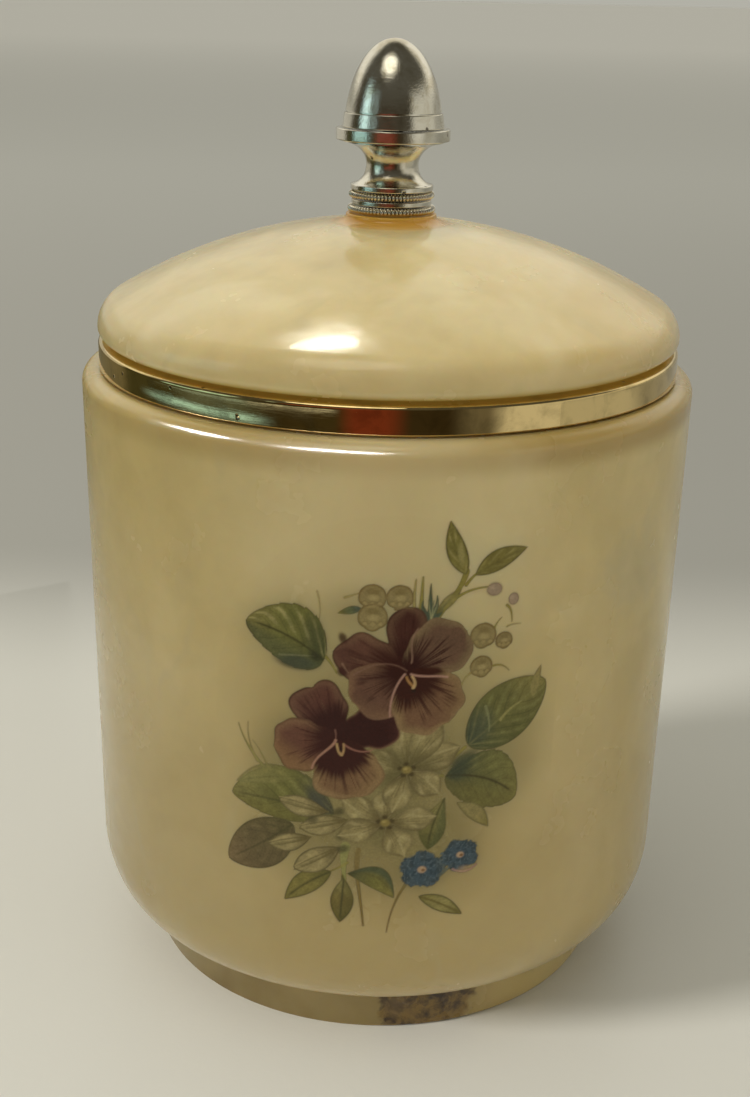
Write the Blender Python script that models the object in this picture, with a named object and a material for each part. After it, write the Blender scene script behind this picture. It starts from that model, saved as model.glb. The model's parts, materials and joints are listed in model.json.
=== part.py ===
"""Lidded alabaster powder jar: turned jar and foot, plated rim band, domed lid and screwed-on acorn finial.

Every piece is turned about +Z. The origin is the centre of the foot's flat underside. Sizes are in metres.
"""

import math

import bmesh
import bpy

GAP = 0.0003  # between large pieces that meet
STACK_GAP = 0.00015  # between the small pieces threaded on the stud

WIDE_SIDES = 64  # facets round the jar, the lid and the band
SLIM_SIDES = 32  # facets round the finial and its fixings

# Foot: a flat disc glued under the jar
FOOT_RADIUS = 0.0446
FOOT_HEIGHT = 0.0092
FOOT_CHAMFER = 0.0004

# Jar body
BODY_BOTTOM = FOOT_HEIGHT + GAP
BODY_RADIUS = 0.0556  # just below the shoulder
BODY_LOW_RADIUS = 0.0550  # just above the base corner
BASE_CORNER_WIDTH = 0.0084
BASE_CORNER_HEIGHT = 0.0130
SHOULDER_ROUND = 0.0024
SHOULDER_TOP = 0.1140
BORE_RADIUS = 0.0465
FLOOR_HEIGHT = 0.0180
FLOOR_CORNER = 0.0080

# Rim band: a pressed ring, with a skirt outside the neck and a ledge over it
BAND_RADIUS = 0.0525
BAND_THICKNESS = 0.0009
BAND_BOTTOM = SHOULDER_TOP + GAP
BAND_TOP = 0.1190
BAND_EDGE_ROUND = 0.0007
LEDGE_INNER_RADIUS = 0.0470
NECK_RADIUS = BAND_RADIUS - BAND_THICKNESS - GAP
NECK_TOP = BAND_TOP - BAND_THICKNESS - GAP

# Lid: a spherical cap with a rounded rim, a locating spigot and a hollow underside
LID_SEAT = BAND_TOP + GAP
LID_RADIUS = 0.0525
LID_APEX = 0.1400
CAP_RADIUS = 0.0970
RIM_ROUND = 0.0060
RIM_UNDERCUT = 0.0030
SPIGOT_RADIUS = 0.0460
SPIGOT_DEPTH = 0.0030
HOLLOW_RADIUS = 0.0395
HOLLOW_TOP = 0.1315
WASHER_FLAT_RADIUS = 0.0090
BOSS_TOP = 0.1410
BOSS_RADIUS = 0.0081
BOSS_FLARE = 0.0027
BOSS_EDGE = 0.0003

# Stud that holds the finial to the lid
STUD_RADIUS = 0.0020
STUD_TOP = 0.1628
STUD_BOTTOM = 0.1246
STUD_CHAMFER = 0.0004
CLEAR_RADIUS = STUD_RADIUS + GAP

# Finial stack, from the boss upward
BEADS = 72
BEAD_DIAMETER = 0.0013
BEAD_VALLEY = 0.0003
LOWER_BEAD_RADIUS = 0.00785
UPPER_BEAD_RADIUS = 0.00765
SPACER_RADIUS = 0.00715
SPACER_HEIGHT = 0.00085
NECK_FOOT_RADIUS = 0.00735
NECK_FOOT_HEIGHT = 0.0010
WAIST_RADIUS = 0.00465
WAIST_HEIGHT = 0.1494
NECK_SPREAD = 0.0097  # radius that the neck's trumpet would reach where it turns level
NECK_RISE = 0.0039
NECK_HEAD = 0.15345
COLLAR_RADIUS = 0.0101
COLLAR_TOP = 0.1556
COLLAR_CHAMFER = 0.0002
SKIRT_RADIUS = 0.0090
SKIRT_TOP_RADIUS = 0.0087
SKIRT_TOP = 0.1582
GROOVE_DEPTH = 0.00025
ACORN_RADIUS = 0.0087
ACORN_SPRING = 0.1548  # height at which the acorn's curve would reach its full radius
ACORN_POINT = 0.1706
SOCKET_TOP = 0.1634

# Fixings under the lid
FIBRE_RADIUS = 0.0070
WASHER_RADIUS = 0.0060
WASHER_THICKNESS = 0.0008
NUT_HEIGHT = 0.0032
NUT_ACROSS_FLATS = 0.0070
NUT_CHAMFER = 0.0004

FIBRE_TOP = HOLLOW_TOP - GAP
WASHER_TOP = FIBRE_TOP - WASHER_THICKNESS - GAP
NUT_TOP = WASHER_TOP - WASHER_THICKNESS - GAP

LOWER_RING_BOTTOM = BOSS_TOP + STACK_GAP
SPACER_BOTTOM = LOWER_RING_BOTTOM + BEAD_DIAMETER + STACK_GAP
UPPER_RING_BOTTOM = SPACER_BOTTOM + SPACER_HEIGHT + STACK_GAP
NECK_BOTTOM = UPPER_RING_BOTTOM + BEAD_DIAMETER + STACK_GAP
COLLAR_BOTTOM = NECK_HEAD + STACK_GAP
ACORN_BOTTOM = COLLAR_TOP + STACK_GAP


def clear_scene():
    for obj in list(bpy.data.objects):
        bpy.data.objects.remove(obj)


def material(name, colour, roughness, metallic=0.0):
    made = bpy.data.materials.new(name)
    made.use_nodes = True
    shader = made.node_tree.nodes["Principled BSDF"]
    shader.inputs["Base Color"].default_value = (*colour, 1.0)
    shader.inputs["Roughness"].default_value = roughness
    shader.inputs["Metallic"].default_value = metallic
    return made


def arc(centre, radii, start, end, points):
    """Points (radius, height) on an elliptical arc, its angles in degrees anticlockwise from outward."""
    found = []
    for step in range(points):
        angle = math.radians(start + (end - start) * step / (points - 1))
        across = centre[0] + radii[0] * math.cos(angle)
        up = centre[1] + radii[1] * math.sin(angle)
        found.append((across, up))
    return found


def turned(name, outline, sides, finish, parent=None, closed=True):
    """A solid turned about +Z. Its outline is (radius, height) points; a closed one leaves a bore."""
    base = min(height for _, height in outline)
    mesh = bpy.data.meshes.new(name)
    shape = bmesh.new()
    points = [shape.verts.new((radius, 0.0, height - base)) for radius, height in outline]
    for first, second in zip(points, points[1:]):
        shape.edges.new((first, second))
    if closed:
        shape.edges.new((points[-1], points[0]))
    bmesh.ops.spin(
        shape,
        geom=shape.verts[:] + shape.edges[:],
        cent=(0.0, 0.0, 0.0),
        axis=(0.0, 0.0, 1.0),
        angle=math.tau,
        steps=sides,
        use_merge=True,
    )
    bmesh.ops.remove_doubles(shape, verts=shape.verts[:], dist=1e-6)
    bmesh.ops.recalc_face_normals(shape, faces=shape.faces[:])
    shape.to_mesh(mesh)
    shape.free()
    mesh.shade_smooth()
    mesh.set_sharp_from_angle(angle=math.radians(32))
    mesh.materials.append(finish)
    obj = bpy.data.objects.new(name, mesh)
    bpy.context.scene.collection.objects.link(obj)
    obj.location.z = base
    if parent:
        obj.parent = parent
        obj.location.z -= parent.location.z
    return obj


def foot(finish):
    outline = [
        (0.0, 0.0),
        (FOOT_RADIUS - FOOT_CHAMFER, 0.0),
        (FOOT_RADIUS, FOOT_CHAMFER),
        (FOOT_RADIUS, FOOT_HEIGHT),
        (0.0, FOOT_HEIGHT),
    ]
    turned("foot_disc", outline, WIDE_SIDES, finish, closed=False)


def jar_body(finish):
    corner_centre = (BODY_LOW_RADIUS - BASE_CORNER_WIDTH, BODY_BOTTOM + BASE_CORNER_HEIGHT)
    shoulder_centre = (BODY_RADIUS - SHOULDER_ROUND, SHOULDER_TOP - SHOULDER_ROUND)
    floor_centre = (BORE_RADIUS - FLOOR_CORNER, FLOOR_HEIGHT + FLOOR_CORNER)
    outline = [(0.0, BODY_BOTTOM)]
    outline += arc(corner_centre, (BASE_CORNER_WIDTH, BASE_CORNER_HEIGHT), -90, 0, 8)
    outline += arc(shoulder_centre, (SHOULDER_ROUND, SHOULDER_ROUND), 0, 90, 4)
    outline += [(NECK_RADIUS, SHOULDER_TOP), (NECK_RADIUS, NECK_TOP), (BORE_RADIUS, NECK_TOP)]
    outline += arc(floor_centre, (FLOOR_CORNER, FLOOR_CORNER), 0, -90, 5)
    outline += [(0.0, FLOOR_HEIGHT)]
    turned("jar_body", outline, WIDE_SIDES, finish, closed=False)


def rim_band(finish):
    inner = BAND_RADIUS - BAND_THICKNESS
    edge_centre = (BAND_RADIUS - BAND_EDGE_ROUND, BAND_TOP - BAND_EDGE_ROUND)
    outline = [(inner, BAND_BOTTOM), (BAND_RADIUS, BAND_BOTTOM)]
    outline += arc(edge_centre, (BAND_EDGE_ROUND, BAND_EDGE_ROUND), 0, 90, 4)
    outline += [
        (LEDGE_INNER_RADIUS, BAND_TOP),
        (LEDGE_INNER_RADIUS, BAND_TOP - BAND_THICKNESS),
        (inner, BAND_TOP - BAND_THICKNESS),
    ]
    turned("rim_band", outline, WIDE_SIDES, finish)


def cap_height(radius):
    """Height of the lid's spherical cap at a radius."""
    return LID_APEX - CAP_RADIUS + math.sqrt(CAP_RADIUS**2 - radius**2)


def lid(finish, parent):
    rim_across = LID_RADIUS - RIM_ROUND
    reach = CAP_RADIUS - RIM_ROUND
    rim_up = LID_APEX - CAP_RADIUS + math.sqrt(reach**2 - rim_across**2)
    rim_end = math.degrees(math.acos(rim_across / reach))
    undercut_centre = (LID_RADIUS - RIM_UNDERCUT, rim_up)
    flare_end = BOSS_RADIUS + BOSS_FLARE
    flare_top = BOSS_TOP - BOSS_EDGE
    hollow_centre = (WASHER_FLAT_RADIUS, LID_SEAT - SPIGOT_DEPTH)
    hollow_radii = (HOLLOW_RADIUS - WASHER_FLAT_RADIUS, HOLLOW_TOP - LID_SEAT + SPIGOT_DEPTH)
    outline = [
        (SPIGOT_RADIUS, LID_SEAT - SPIGOT_DEPTH),
        (SPIGOT_RADIUS, LID_SEAT),
    ]
    outline += arc(undercut_centre, (RIM_UNDERCUT, rim_up - LID_SEAT), -90, -20, 4)
    outline += arc((rim_across, rim_up), (RIM_ROUND, RIM_ROUND), 0, rim_end, 5)
    for radius in (0.040, 0.031, 0.022, 0.015):
        outline.append((radius, cap_height(radius)))
    outline += arc((flare_end, flare_top), (BOSS_FLARE, flare_top - cap_height(flare_end)), 270, 180, 5)
    outline += [
        (BOSS_RADIUS - BOSS_EDGE, BOSS_TOP),
        (CLEAR_RADIUS, BOSS_TOP),
        (CLEAR_RADIUS, HOLLOW_TOP),
    ]
    outline += arc(hollow_centre, hollow_radii, 90, 0, 7)
    turned("lid", outline, WIDE_SIDES, finish, parent)


def bead_ring(name, radius, bottom, finish, parent):
    """A washer whose edge is a row of beads: every second column of its edge is a valley."""
    top = bottom + BEAD_DIAMETER
    shoulder = radius - BEAD_DIAMETER * 0.45
    outline = [
        (CLEAR_RADIUS, bottom),
        (shoulder, bottom),
        (radius, bottom + BEAD_DIAMETER / 2.0),
        (shoulder, top),
        (CLEAR_RADIUS, top),
    ]
    columns = BEADS * 2
    ring = turned(name, outline, columns, finish, parent)
    for point in ring.data.vertices:
        spread = math.hypot(point.co.x, point.co.y)
        column = round(math.atan2(point.co.y, point.co.x) * columns / math.tau)
        if spread > CLEAR_RADIUS * 1.5 and column % 2:
            point.co.x *= 1.0 - BEAD_VALLEY / spread
            point.co.y *= 1.0 - BEAD_VALLEY / spread


def plain_ring(name, radius, bottom, height, finish, parent):
    outline = [
        (CLEAR_RADIUS, bottom),
        (radius, bottom),
        (radius, bottom + height),
        (CLEAR_RADIUS, bottom + height),
    ]
    turned(name, outline, SLIM_SIDES, finish, parent)


def finial_neck(finish, parent):
    foot_top = NECK_BOTTOM + NECK_FOOT_HEIGHT
    lower_flare = (NECK_FOOT_RADIUS - WAIST_RADIUS, WAIST_HEIGHT - foot_top)
    trumpet = (NECK_SPREAD - WAIST_RADIUS, NECK_RISE)
    outline = [(CLEAR_RADIUS, NECK_BOTTOM), (NECK_FOOT_RADIUS, NECK_BOTTOM)]
    outline += arc((NECK_FOOT_RADIUS, WAIST_HEIGHT), lower_flare, 270, 180, 6)
    outline += arc((NECK_SPREAD, WAIST_HEIGHT), trumpet, 168, 98, 7)
    outline += [(outline[-1][0], NECK_HEAD), (CLEAR_RADIUS, NECK_HEAD)]
    turned("finial_neck", outline, SLIM_SIDES, finish, parent)


def finial_collar(finish, parent):
    outline = [
        (CLEAR_RADIUS, COLLAR_BOTTOM),
        (COLLAR_RADIUS, COLLAR_BOTTOM),
        (COLLAR_RADIUS, COLLAR_TOP - COLLAR_CHAMFER),
        (COLLAR_RADIUS - COLLAR_CHAMFER, COLLAR_TOP),
        (CLEAR_RADIUS, COLLAR_TOP),
    ]
    turned("finial_collar", outline, SLIM_SIDES, finish, parent)


def acorn_radius(height):
    rise = (height - ACORN_SPRING) / (ACORN_POINT - ACORN_SPRING)
    return ACORN_RADIUS * math.sqrt(1.0 - rise**2)


def finial_acorn(finish, parent):
    dome_bottom = SKIRT_TOP + GROOVE_DEPTH
    outline = [
        (0.0, SOCKET_TOP),
        (CLEAR_RADIUS, SOCKET_TOP),
        (CLEAR_RADIUS, ACORN_BOTTOM),
        (SKIRT_RADIUS, ACORN_BOTTOM),
        (SKIRT_TOP_RADIUS, SKIRT_TOP),
        (acorn_radius(dome_bottom) - GROOVE_DEPTH, dome_bottom),
    ]
    curve_steps = 9
    for step in range(curve_steps):
        turn = math.radians(90.0 * step / curve_steps)
        height = dome_bottom + (ACORN_POINT - dome_bottom) * math.sin(turn)
        outline.append((acorn_radius(height), height))
    outline.append((0.0, ACORN_POINT))
    turned("finial_acorn", outline, SLIM_SIDES, finish, parent, closed=False)


def stud(finish, parent):
    outline = [
        (0.0, STUD_BOTTOM),
        (STUD_RADIUS - STUD_CHAMFER, STUD_BOTTOM),
        (STUD_RADIUS, STUD_BOTTOM + STUD_CHAMFER),
        (STUD_RADIUS, STUD_TOP - STUD_CHAMFER),
        (STUD_RADIUS - STUD_CHAMFER, STUD_TOP),
        (0.0, STUD_TOP),
    ]
    turned("finial_stud", outline, SLIM_SIDES // 2, finish, parent, closed=False)


def hex_nut(finish, parent):
    corner = NUT_ACROSS_FLATS / math.sqrt(3.0)
    bottom = NUT_TOP - NUT_HEIGHT
    outline = [
        (CLEAR_RADIUS, bottom),
        (NUT_ACROSS_FLATS / 2.0, bottom),
        (corner, bottom + NUT_CHAMFER),
        (corner, NUT_TOP - NUT_CHAMFER),
        (NUT_ACROSS_FLATS / 2.0, NUT_TOP),
        (CLEAR_RADIUS, NUT_TOP),
    ]
    turned("lid_nut", outline, 6, finish, parent)


def build():
    clear_scene()
    alabaster = material("alabaster", (0.62, 0.50, 0.27), 0.18)
    gold = material("gold_plate", (0.72, 0.52, 0.22), 0.16, 1.0)
    nickel = material("silver_plate", (0.74, 0.70, 0.60), 0.14, 1.0)
    brass = material("brass", (0.70, 0.52, 0.24), 0.32, 1.0)
    steel = material("zinc_steel", (0.55, 0.55, 0.53), 0.36, 1.0)
    fibre = material("fibre", (0.32, 0.10, 0.06), 0.80)

    foot(alabaster)
    jar_body(alabaster)
    rim_band(gold)

    lift = bpy.data.objects.new("lid_lift_axis", None)
    lift.location.z = LID_SEAT
    bpy.context.scene.collection.objects.link(lift)

    lid(alabaster, lift)
    bead_ring("lower_bead_ring", LOWER_BEAD_RADIUS, LOWER_RING_BOTTOM, nickel, lift)
    plain_ring("bead_spacer", SPACER_RADIUS, SPACER_BOTTOM, SPACER_HEIGHT, nickel, lift)
    bead_ring("upper_bead_ring", UPPER_BEAD_RADIUS, UPPER_RING_BOTTOM, nickel, lift)
    finial_neck(nickel, lift)
    finial_collar(nickel, lift)
    finial_acorn(nickel, lift)
    stud(steel, lift)
    fibre_bottom = FIBRE_TOP - WASHER_THICKNESS
    washer_bottom = WASHER_TOP - WASHER_THICKNESS
    plain_ring("fibre_washer", FIBRE_RADIUS, fibre_bottom, WASHER_THICKNESS, fibre, lift)
    plain_ring("brass_washer", WASHER_RADIUS, washer_bottom, WASHER_THICKNESS, brass, lift)
    hex_nut(brass, lift)


build()
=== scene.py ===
"""Looks of the powder jar: alabaster, a gold-plated band, a silver-plated finial and a printed flower spray.

Lengths are in metres, except in the print, which is laid out in millimetres on the jar's side.
"""
import json
import math

import bmesh
import bpy
import numpy as np
from mathutils import Matrix, Vector

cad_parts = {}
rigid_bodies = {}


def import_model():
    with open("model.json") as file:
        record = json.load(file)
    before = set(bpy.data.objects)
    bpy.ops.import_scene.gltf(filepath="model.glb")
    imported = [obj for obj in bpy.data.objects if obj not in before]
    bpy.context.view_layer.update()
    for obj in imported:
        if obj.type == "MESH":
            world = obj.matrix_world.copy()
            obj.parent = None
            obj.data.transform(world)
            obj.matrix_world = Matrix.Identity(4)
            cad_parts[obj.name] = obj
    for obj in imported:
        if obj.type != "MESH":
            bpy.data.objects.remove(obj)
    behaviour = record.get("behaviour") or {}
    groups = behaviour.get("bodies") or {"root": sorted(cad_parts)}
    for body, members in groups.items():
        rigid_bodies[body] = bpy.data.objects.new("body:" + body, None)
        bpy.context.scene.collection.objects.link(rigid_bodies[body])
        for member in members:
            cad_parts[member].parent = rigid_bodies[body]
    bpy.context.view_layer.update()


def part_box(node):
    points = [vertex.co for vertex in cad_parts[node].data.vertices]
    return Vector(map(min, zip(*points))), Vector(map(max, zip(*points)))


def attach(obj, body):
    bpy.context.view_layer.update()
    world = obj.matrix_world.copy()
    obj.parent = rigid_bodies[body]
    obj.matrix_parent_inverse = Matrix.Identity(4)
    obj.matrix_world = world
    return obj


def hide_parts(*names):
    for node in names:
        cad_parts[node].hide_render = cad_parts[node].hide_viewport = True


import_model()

SIDES = 256  # round the jar, the lid and the band
SLIM_SIDES = 128  # round the finial and its fixings
SILVER_PIECES = ("lower_beads", "upper_beads", "spacer", "neck", "collar", "acorn")

BODY_LOW, BODY_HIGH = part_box("jar_body")
FOOT_LOW, FOOT_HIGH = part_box("foot_disc")
BAND_LOW, BAND_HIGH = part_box("rim_band")
LID_LOW, LID_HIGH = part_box("lid")
ACORN_LOW, ACORN_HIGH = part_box("finial_acorn")
NECK_LOW, NECK_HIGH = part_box("finial_neck")
STUD_LOW, STUD_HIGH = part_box("finial_stud")
NUT_LOW, NUT_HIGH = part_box("lid_nut")

CLEAR_RADIUS = STUD_HIGH.x + 0.0003  # bore of every piece threaded on the stud

# Jar body
BODY_TAPER = 0.0006  # the side leans out by this much from the base corner to the shoulder
BASE_CORNER = (0.0084, 0.0130)  # across, up
SHOULDER_ROUND = 0.0024
SHOULDER_TOP = BAND_LOW.z - 0.0003
BORE_RADIUS = 0.0465
FLOOR_HEIGHT = 0.0180
FLOOR_CORNER = 0.0080

# Rim band
BAND_THICKNESS = 0.0009
BAND_EDGE_ROUND = 0.0007
LEDGE_INNER_RADIUS = 0.0470
NECK_RADIUS = BAND_HIGH.x - BAND_THICKNESS - 0.0003

# Lid
LID_SEAT = BAND_HIGH.z + 0.0003
LID_APEX = 0.1400
CAP_RADIUS = 0.0970
RIM_ROUND = 0.0060
RIM_UNDERCUT = 0.0030
SPIGOT_RADIUS = 0.0460
HOLLOW_RADIUS = 0.0395
HOLLOW_TOP = 0.1315
WASHER_FLAT_RADIUS = 0.0090
BOSS_RADIUS = 0.0081
BOSS_FLARE = 0.0027
BOSS_EDGE = 0.0003

# Finial
BEADS = 72
BEAD_REACH = 0.00072
WAIST_RADIUS = 0.00465
WAIST_HEIGHT = 0.1494
NECK_FOOT_HEIGHT = 0.0010
NECK_FOOT_RADIUS = 0.00735
NECK_SPREAD = 0.0097
NECK_RISE = 0.0039
SKIRT_TOP = 0.1582
SKIRT_TOP_RADIUS = 0.0087
GROOVE_DEPTH = 0.00025
SPACER_EDGE = 0.00015
COLLAR_EDGE = 0.00018
WASHER_EDGE = 0.0001
ACORN_RADIUS = 0.0087
ACORN_SPRING = 0.1548
SOCKET_TOP = 0.1634
THREAD_PITCH = 0.0007
THREAD_DEPTH = 0.00035

# Printed spray, in millimetres on the jar's side: across from the front line, and up from the table
PRINT_LEFT, PRINT_RIGHT = -29.5, 31.0
PRINT_BOTTOM, PRINT_TOP = 25.0, 105.0
PRINT_STEP = 0.17
PRINT_LIFT = 0.00003
INK_GAIN = 1.88  # ink colours are written as they look in dim room light


# ---------------------------------------------------------------- meshes

def arc(centre, radii, start, end, steps):
    """Points (radius, height) on an elliptical arc, its angles in degrees anticlockwise from outward."""
    angles = np.radians(np.linspace(start, end, steps + 1))
    return [(centre[0] + radii[0] * math.cos(a), centre[1] + radii[1] * math.sin(a)) for a in angles]


def corner(radius, height, edge, start, steps=4):
    """A quarter round just inside an outline's bottom (-90), top (0) or inner top (90) corner."""
    across = radius + edge if start == 90 else radius - edge
    up = height + edge if start == -90 else height - edge
    return arc((across, up), (edge, edge), start, start + 90, steps)


def piece(name, mesh, finish, body, replaced):
    """The finished object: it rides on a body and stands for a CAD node."""
    mesh.materials.append(finish)
    obj = bpy.data.objects.new(name, mesh)
    bpy.context.scene.collection.objects.link(obj)
    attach(obj, body)
    if replaced:
        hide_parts(replaced)
    return obj


def smoothed(mesh, sharp=34):
    mesh.shade_smooth()
    mesh.set_sharp_from_angle(angle=math.radians(sharp))
    return mesh


def wrapped(name, rings, closed):
    """A mesh through rings of points. Each ring is an array of points round +Z, or one point on the axis."""
    points, first = [], []
    for ring in rings:
        first.append(len(points))
        points.extend(ring)
    faces = []
    pairs = list(zip(range(len(rings)), range(1, len(rings))))
    if closed:
        pairs.append((len(rings) - 1, 0))
    for low, high in pairs:
        many = max(len(rings[low]), len(rings[high]))
        for i in range(many):
            j = (i + 1) % many
            if len(rings[low]) == 1:
                faces.append((first[low], first[high] + j, first[high] + i))
            elif len(rings[high]) == 1:
                faces.append((first[low] + i, first[low] + j, first[high]))
            else:
                faces.append((first[low] + i, first[low] + j, first[high] + j, first[high] + i))
    mesh = bpy.data.meshes.new(name)
    mesh.from_pydata([tuple(p) for p in points], [], faces)
    shape = bmesh.new()
    shape.from_mesh(mesh)
    bmesh.ops.recalc_face_normals(shape, faces=shape.faces[:])
    shape.to_mesh(mesh)
    shape.free()
    return mesh


def held_flat(outline):
    """The outline with a point just inside each end of a long straight run, so that it shades flat."""
    long_run = 0.0005
    step = 4  # a run is held where its neighbour is shorter than it by this factor
    spans = [math.dist(a, b) for a, b in zip(outline, outline[1:])]
    held = [outline[0]]
    for k, span in enumerate(spans):
        a, b = np.array(outline[k]), np.array(outline[k + 1])
        if span > long_run and k > 0 and spans[k - 1] < span / step:
            held.append(tuple(a + (b - a) * min(spans[k - 1] / span, 0.2)))
        if span > long_run and k + 1 < len(spans) and spans[k + 1] < span / step:
            held.append(tuple(b + (a - b) * min(spans[k + 1] / span, 0.2)))
        held.append(outline[k + 1])
    return held


def turned(name, outline, sides, closed=False):
    """A solid turned about +Z from (radius, height) points. A closed outline leaves a bore."""
    angles = np.arange(sides) * math.tau / sides
    rings = []
    for radius, height in held_flat(outline):
        if radius < 1e-7:
            rings.append([(0.0, 0.0, height)])
        else:
            rings.append([(radius * math.sin(a), -radius * math.cos(a), height) for a in angles])
    return smoothed(wrapped(name, rings, closed))


def foot_outline():
    edge = 0.0006
    radius = FOOT_HIGH.x
    outline = [(0.0, FOOT_LOW.z)]
    outline += corner(radius, FOOT_LOW.z, edge, -90, 5)
    outline += corner(radius, FOOT_HIGH.z, edge, 0, 5)
    outline += [(0.0, FOOT_HIGH.z)]
    return outline


def body_radius(height):
    """The jar's outer radius between its base corner and its shoulder."""
    low = BODY_LOW.z + BASE_CORNER[1]
    high = SHOULDER_TOP - SHOULDER_ROUND
    return BODY_HIGH.x - BODY_TAPER * (high - height) / (high - low)


def body_outline():
    low_radius = BODY_HIGH.x - BODY_TAPER
    top = BODY_HIGH.z
    lip = 0.0004
    outline = [(0.0, BODY_LOW.z)]
    base = (low_radius - BASE_CORNER[0], BODY_LOW.z + BASE_CORNER[1])
    outline += arc(base, BASE_CORNER, -90, 0, 28)
    for step in range(1, 12):
        height = base[1] + (SHOULDER_TOP - SHOULDER_ROUND - base[1]) * step / 12
        outline.append((body_radius(height), height))
    outline += corner(BODY_HIGH.x, SHOULDER_TOP, SHOULDER_ROUND, 0, 14)
    outline += [(NECK_RADIUS, SHOULDER_TOP)]
    outline += corner(NECK_RADIUS, top, lip, 0)
    outline += corner(BORE_RADIUS, top, lip, 90)
    floor = (BORE_RADIUS - FLOOR_CORNER, FLOOR_HEIGHT + FLOOR_CORNER)
    outline += arc(floor, (FLOOR_CORNER, FLOOR_CORNER), 0, -90, 16)
    outline += [(0.0, FLOOR_HEIGHT)]
    return outline


def band_outline():
    inner = BAND_HIGH.x - BAND_THICKNESS
    edge = BAND_EDGE_ROUND
    hem = 0.00025
    top = BAND_HIGH.z
    outline = [(inner, BAND_LOW.z)]
    outline += corner(BAND_HIGH.x, BAND_LOW.z, hem, -90)
    outline += corner(BAND_HIGH.x, top, edge, 0, 10)
    outline += corner(LEDGE_INNER_RADIUS, top, hem, 90)
    outline += [(LEDGE_INNER_RADIUS, top - BAND_THICKNESS), (inner, top - BAND_THICKNESS)]
    return outline


def cap_height(radius):
    """Height of the lid's spherical cap at a radius."""
    return LID_APEX - CAP_RADIUS + math.sqrt(CAP_RADIUS**2 - radius**2)


def lid_outline():
    rim_across = LID_HIGH.x - RIM_ROUND
    reach = CAP_RADIUS - RIM_ROUND
    rim_up = LID_APEX - CAP_RADIUS + math.sqrt(reach**2 - rim_across**2)
    rim_end = math.degrees(math.acos(rim_across / reach))
    flare_end = BOSS_RADIUS + BOSS_FLARE
    flare_top = LID_HIGH.z - BOSS_EDGE
    cap_start = rim_across + RIM_ROUND * math.cos(math.radians(rim_end))
    hollow_centre = (WASHER_FLAT_RADIUS, LID_LOW.z)
    hollow_radii = (HOLLOW_RADIUS - WASHER_FLAT_RADIUS, HOLLOW_TOP - LID_LOW.z)
    bevel = 0.0004
    outline = [(SPIGOT_RADIUS - bevel, LID_LOW.z), (SPIGOT_RADIUS, LID_LOW.z + bevel)]
    outline += [(SPIGOT_RADIUS, LID_SEAT)]
    outline += arc((LID_HIGH.x - RIM_UNDERCUT, rim_up), (RIM_UNDERCUT, rim_up - LID_SEAT), -90, -8, 12)
    outline += arc((rim_across, rim_up), (RIM_ROUND, RIM_ROUND), 0, rim_end, 14)
    cap_steps = 28
    for step in range(1, cap_steps):
        radius = cap_start + (flare_end - cap_start) * step / cap_steps
        outline.append((radius, cap_height(radius)))
    outline += arc((flare_end, flare_top), (BOSS_FLARE, flare_top - cap_height(flare_end)), 270, 180, 14)
    outline += corner(BOSS_RADIUS, LID_HIGH.z, BOSS_EDGE, 0)
    outline += [(CLEAR_RADIUS, LID_HIGH.z), (CLEAR_RADIUS, HOLLOW_TOP)]
    outline += arc(hollow_centre, hollow_radii, 90, 0, 24)
    return outline


def neck_outline():
    edge = 0.0002
    foot_top = NECK_LOW.z + NECK_FOOT_HEIGHT
    lower = (NECK_FOOT_RADIUS - WAIST_RADIUS, WAIST_HEIGHT - foot_top)
    upper = (NECK_SPREAD - WAIST_RADIUS, NECK_RISE)
    outline = [(CLEAR_RADIUS, NECK_LOW.z)]
    outline += corner(NECK_FOOT_RADIUS, NECK_LOW.z, edge, -90)
    outline += corner(NECK_FOOT_RADIUS, foot_top, edge, 0)
    outline += arc((NECK_FOOT_RADIUS, WAIST_HEIGHT), lower, 264, 180, 20)
    outline += arc((NECK_SPREAD, WAIST_HEIGHT), upper, 176, 98, 18)
    outline += [(NECK_HIGH.x, NECK_HIGH.z), (CLEAR_RADIUS, NECK_HIGH.z)]
    return outline


def acorn_radius(height):
    rise = (height - ACORN_SPRING) / (ACORN_HIGH.z - ACORN_SPRING)
    return ACORN_RADIUS * math.sqrt(1.0 - rise**2)


def acorn_outline():
    dome_bottom = SKIRT_TOP + GROOVE_DEPTH
    edge = 0.00015
    skirt = ACORN_HIGH.x
    outline = [(0.0, SOCKET_TOP), (CLEAR_RADIUS, SOCKET_TOP), (CLEAR_RADIUS, ACORN_LOW.z)]
    outline += corner(skirt, ACORN_LOW.z, edge, -90, 3)
    outline += corner(SKIRT_TOP_RADIUS, SKIRT_TOP, edge, 0)
    outline += [(acorn_radius(dome_bottom) - GROOVE_DEPTH, SKIRT_TOP)]
    outline += [(acorn_radius(dome_bottom) - GROOVE_DEPTH, dome_bottom)]
    steps = 40
    for step in range(steps):
        height = dome_bottom + (ACORN_HIGH.z - dome_bottom) * math.sin(math.pi / 2 * step / steps)
        outline.append((acorn_radius(height), height))
    outline.append((0.0, ACORN_HIGH.z))
    return outline


def ring_outline(low, high, edge):
    """A washer with a rounded outer edge."""
    outline = [(CLEAR_RADIUS, low.z)]
    outline += corner(high.x, low.z, edge, -90)
    outline += corner(high.x, high.z, edge, 0)
    outline += [(CLEAR_RADIUS, high.z)]
    return outline


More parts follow.
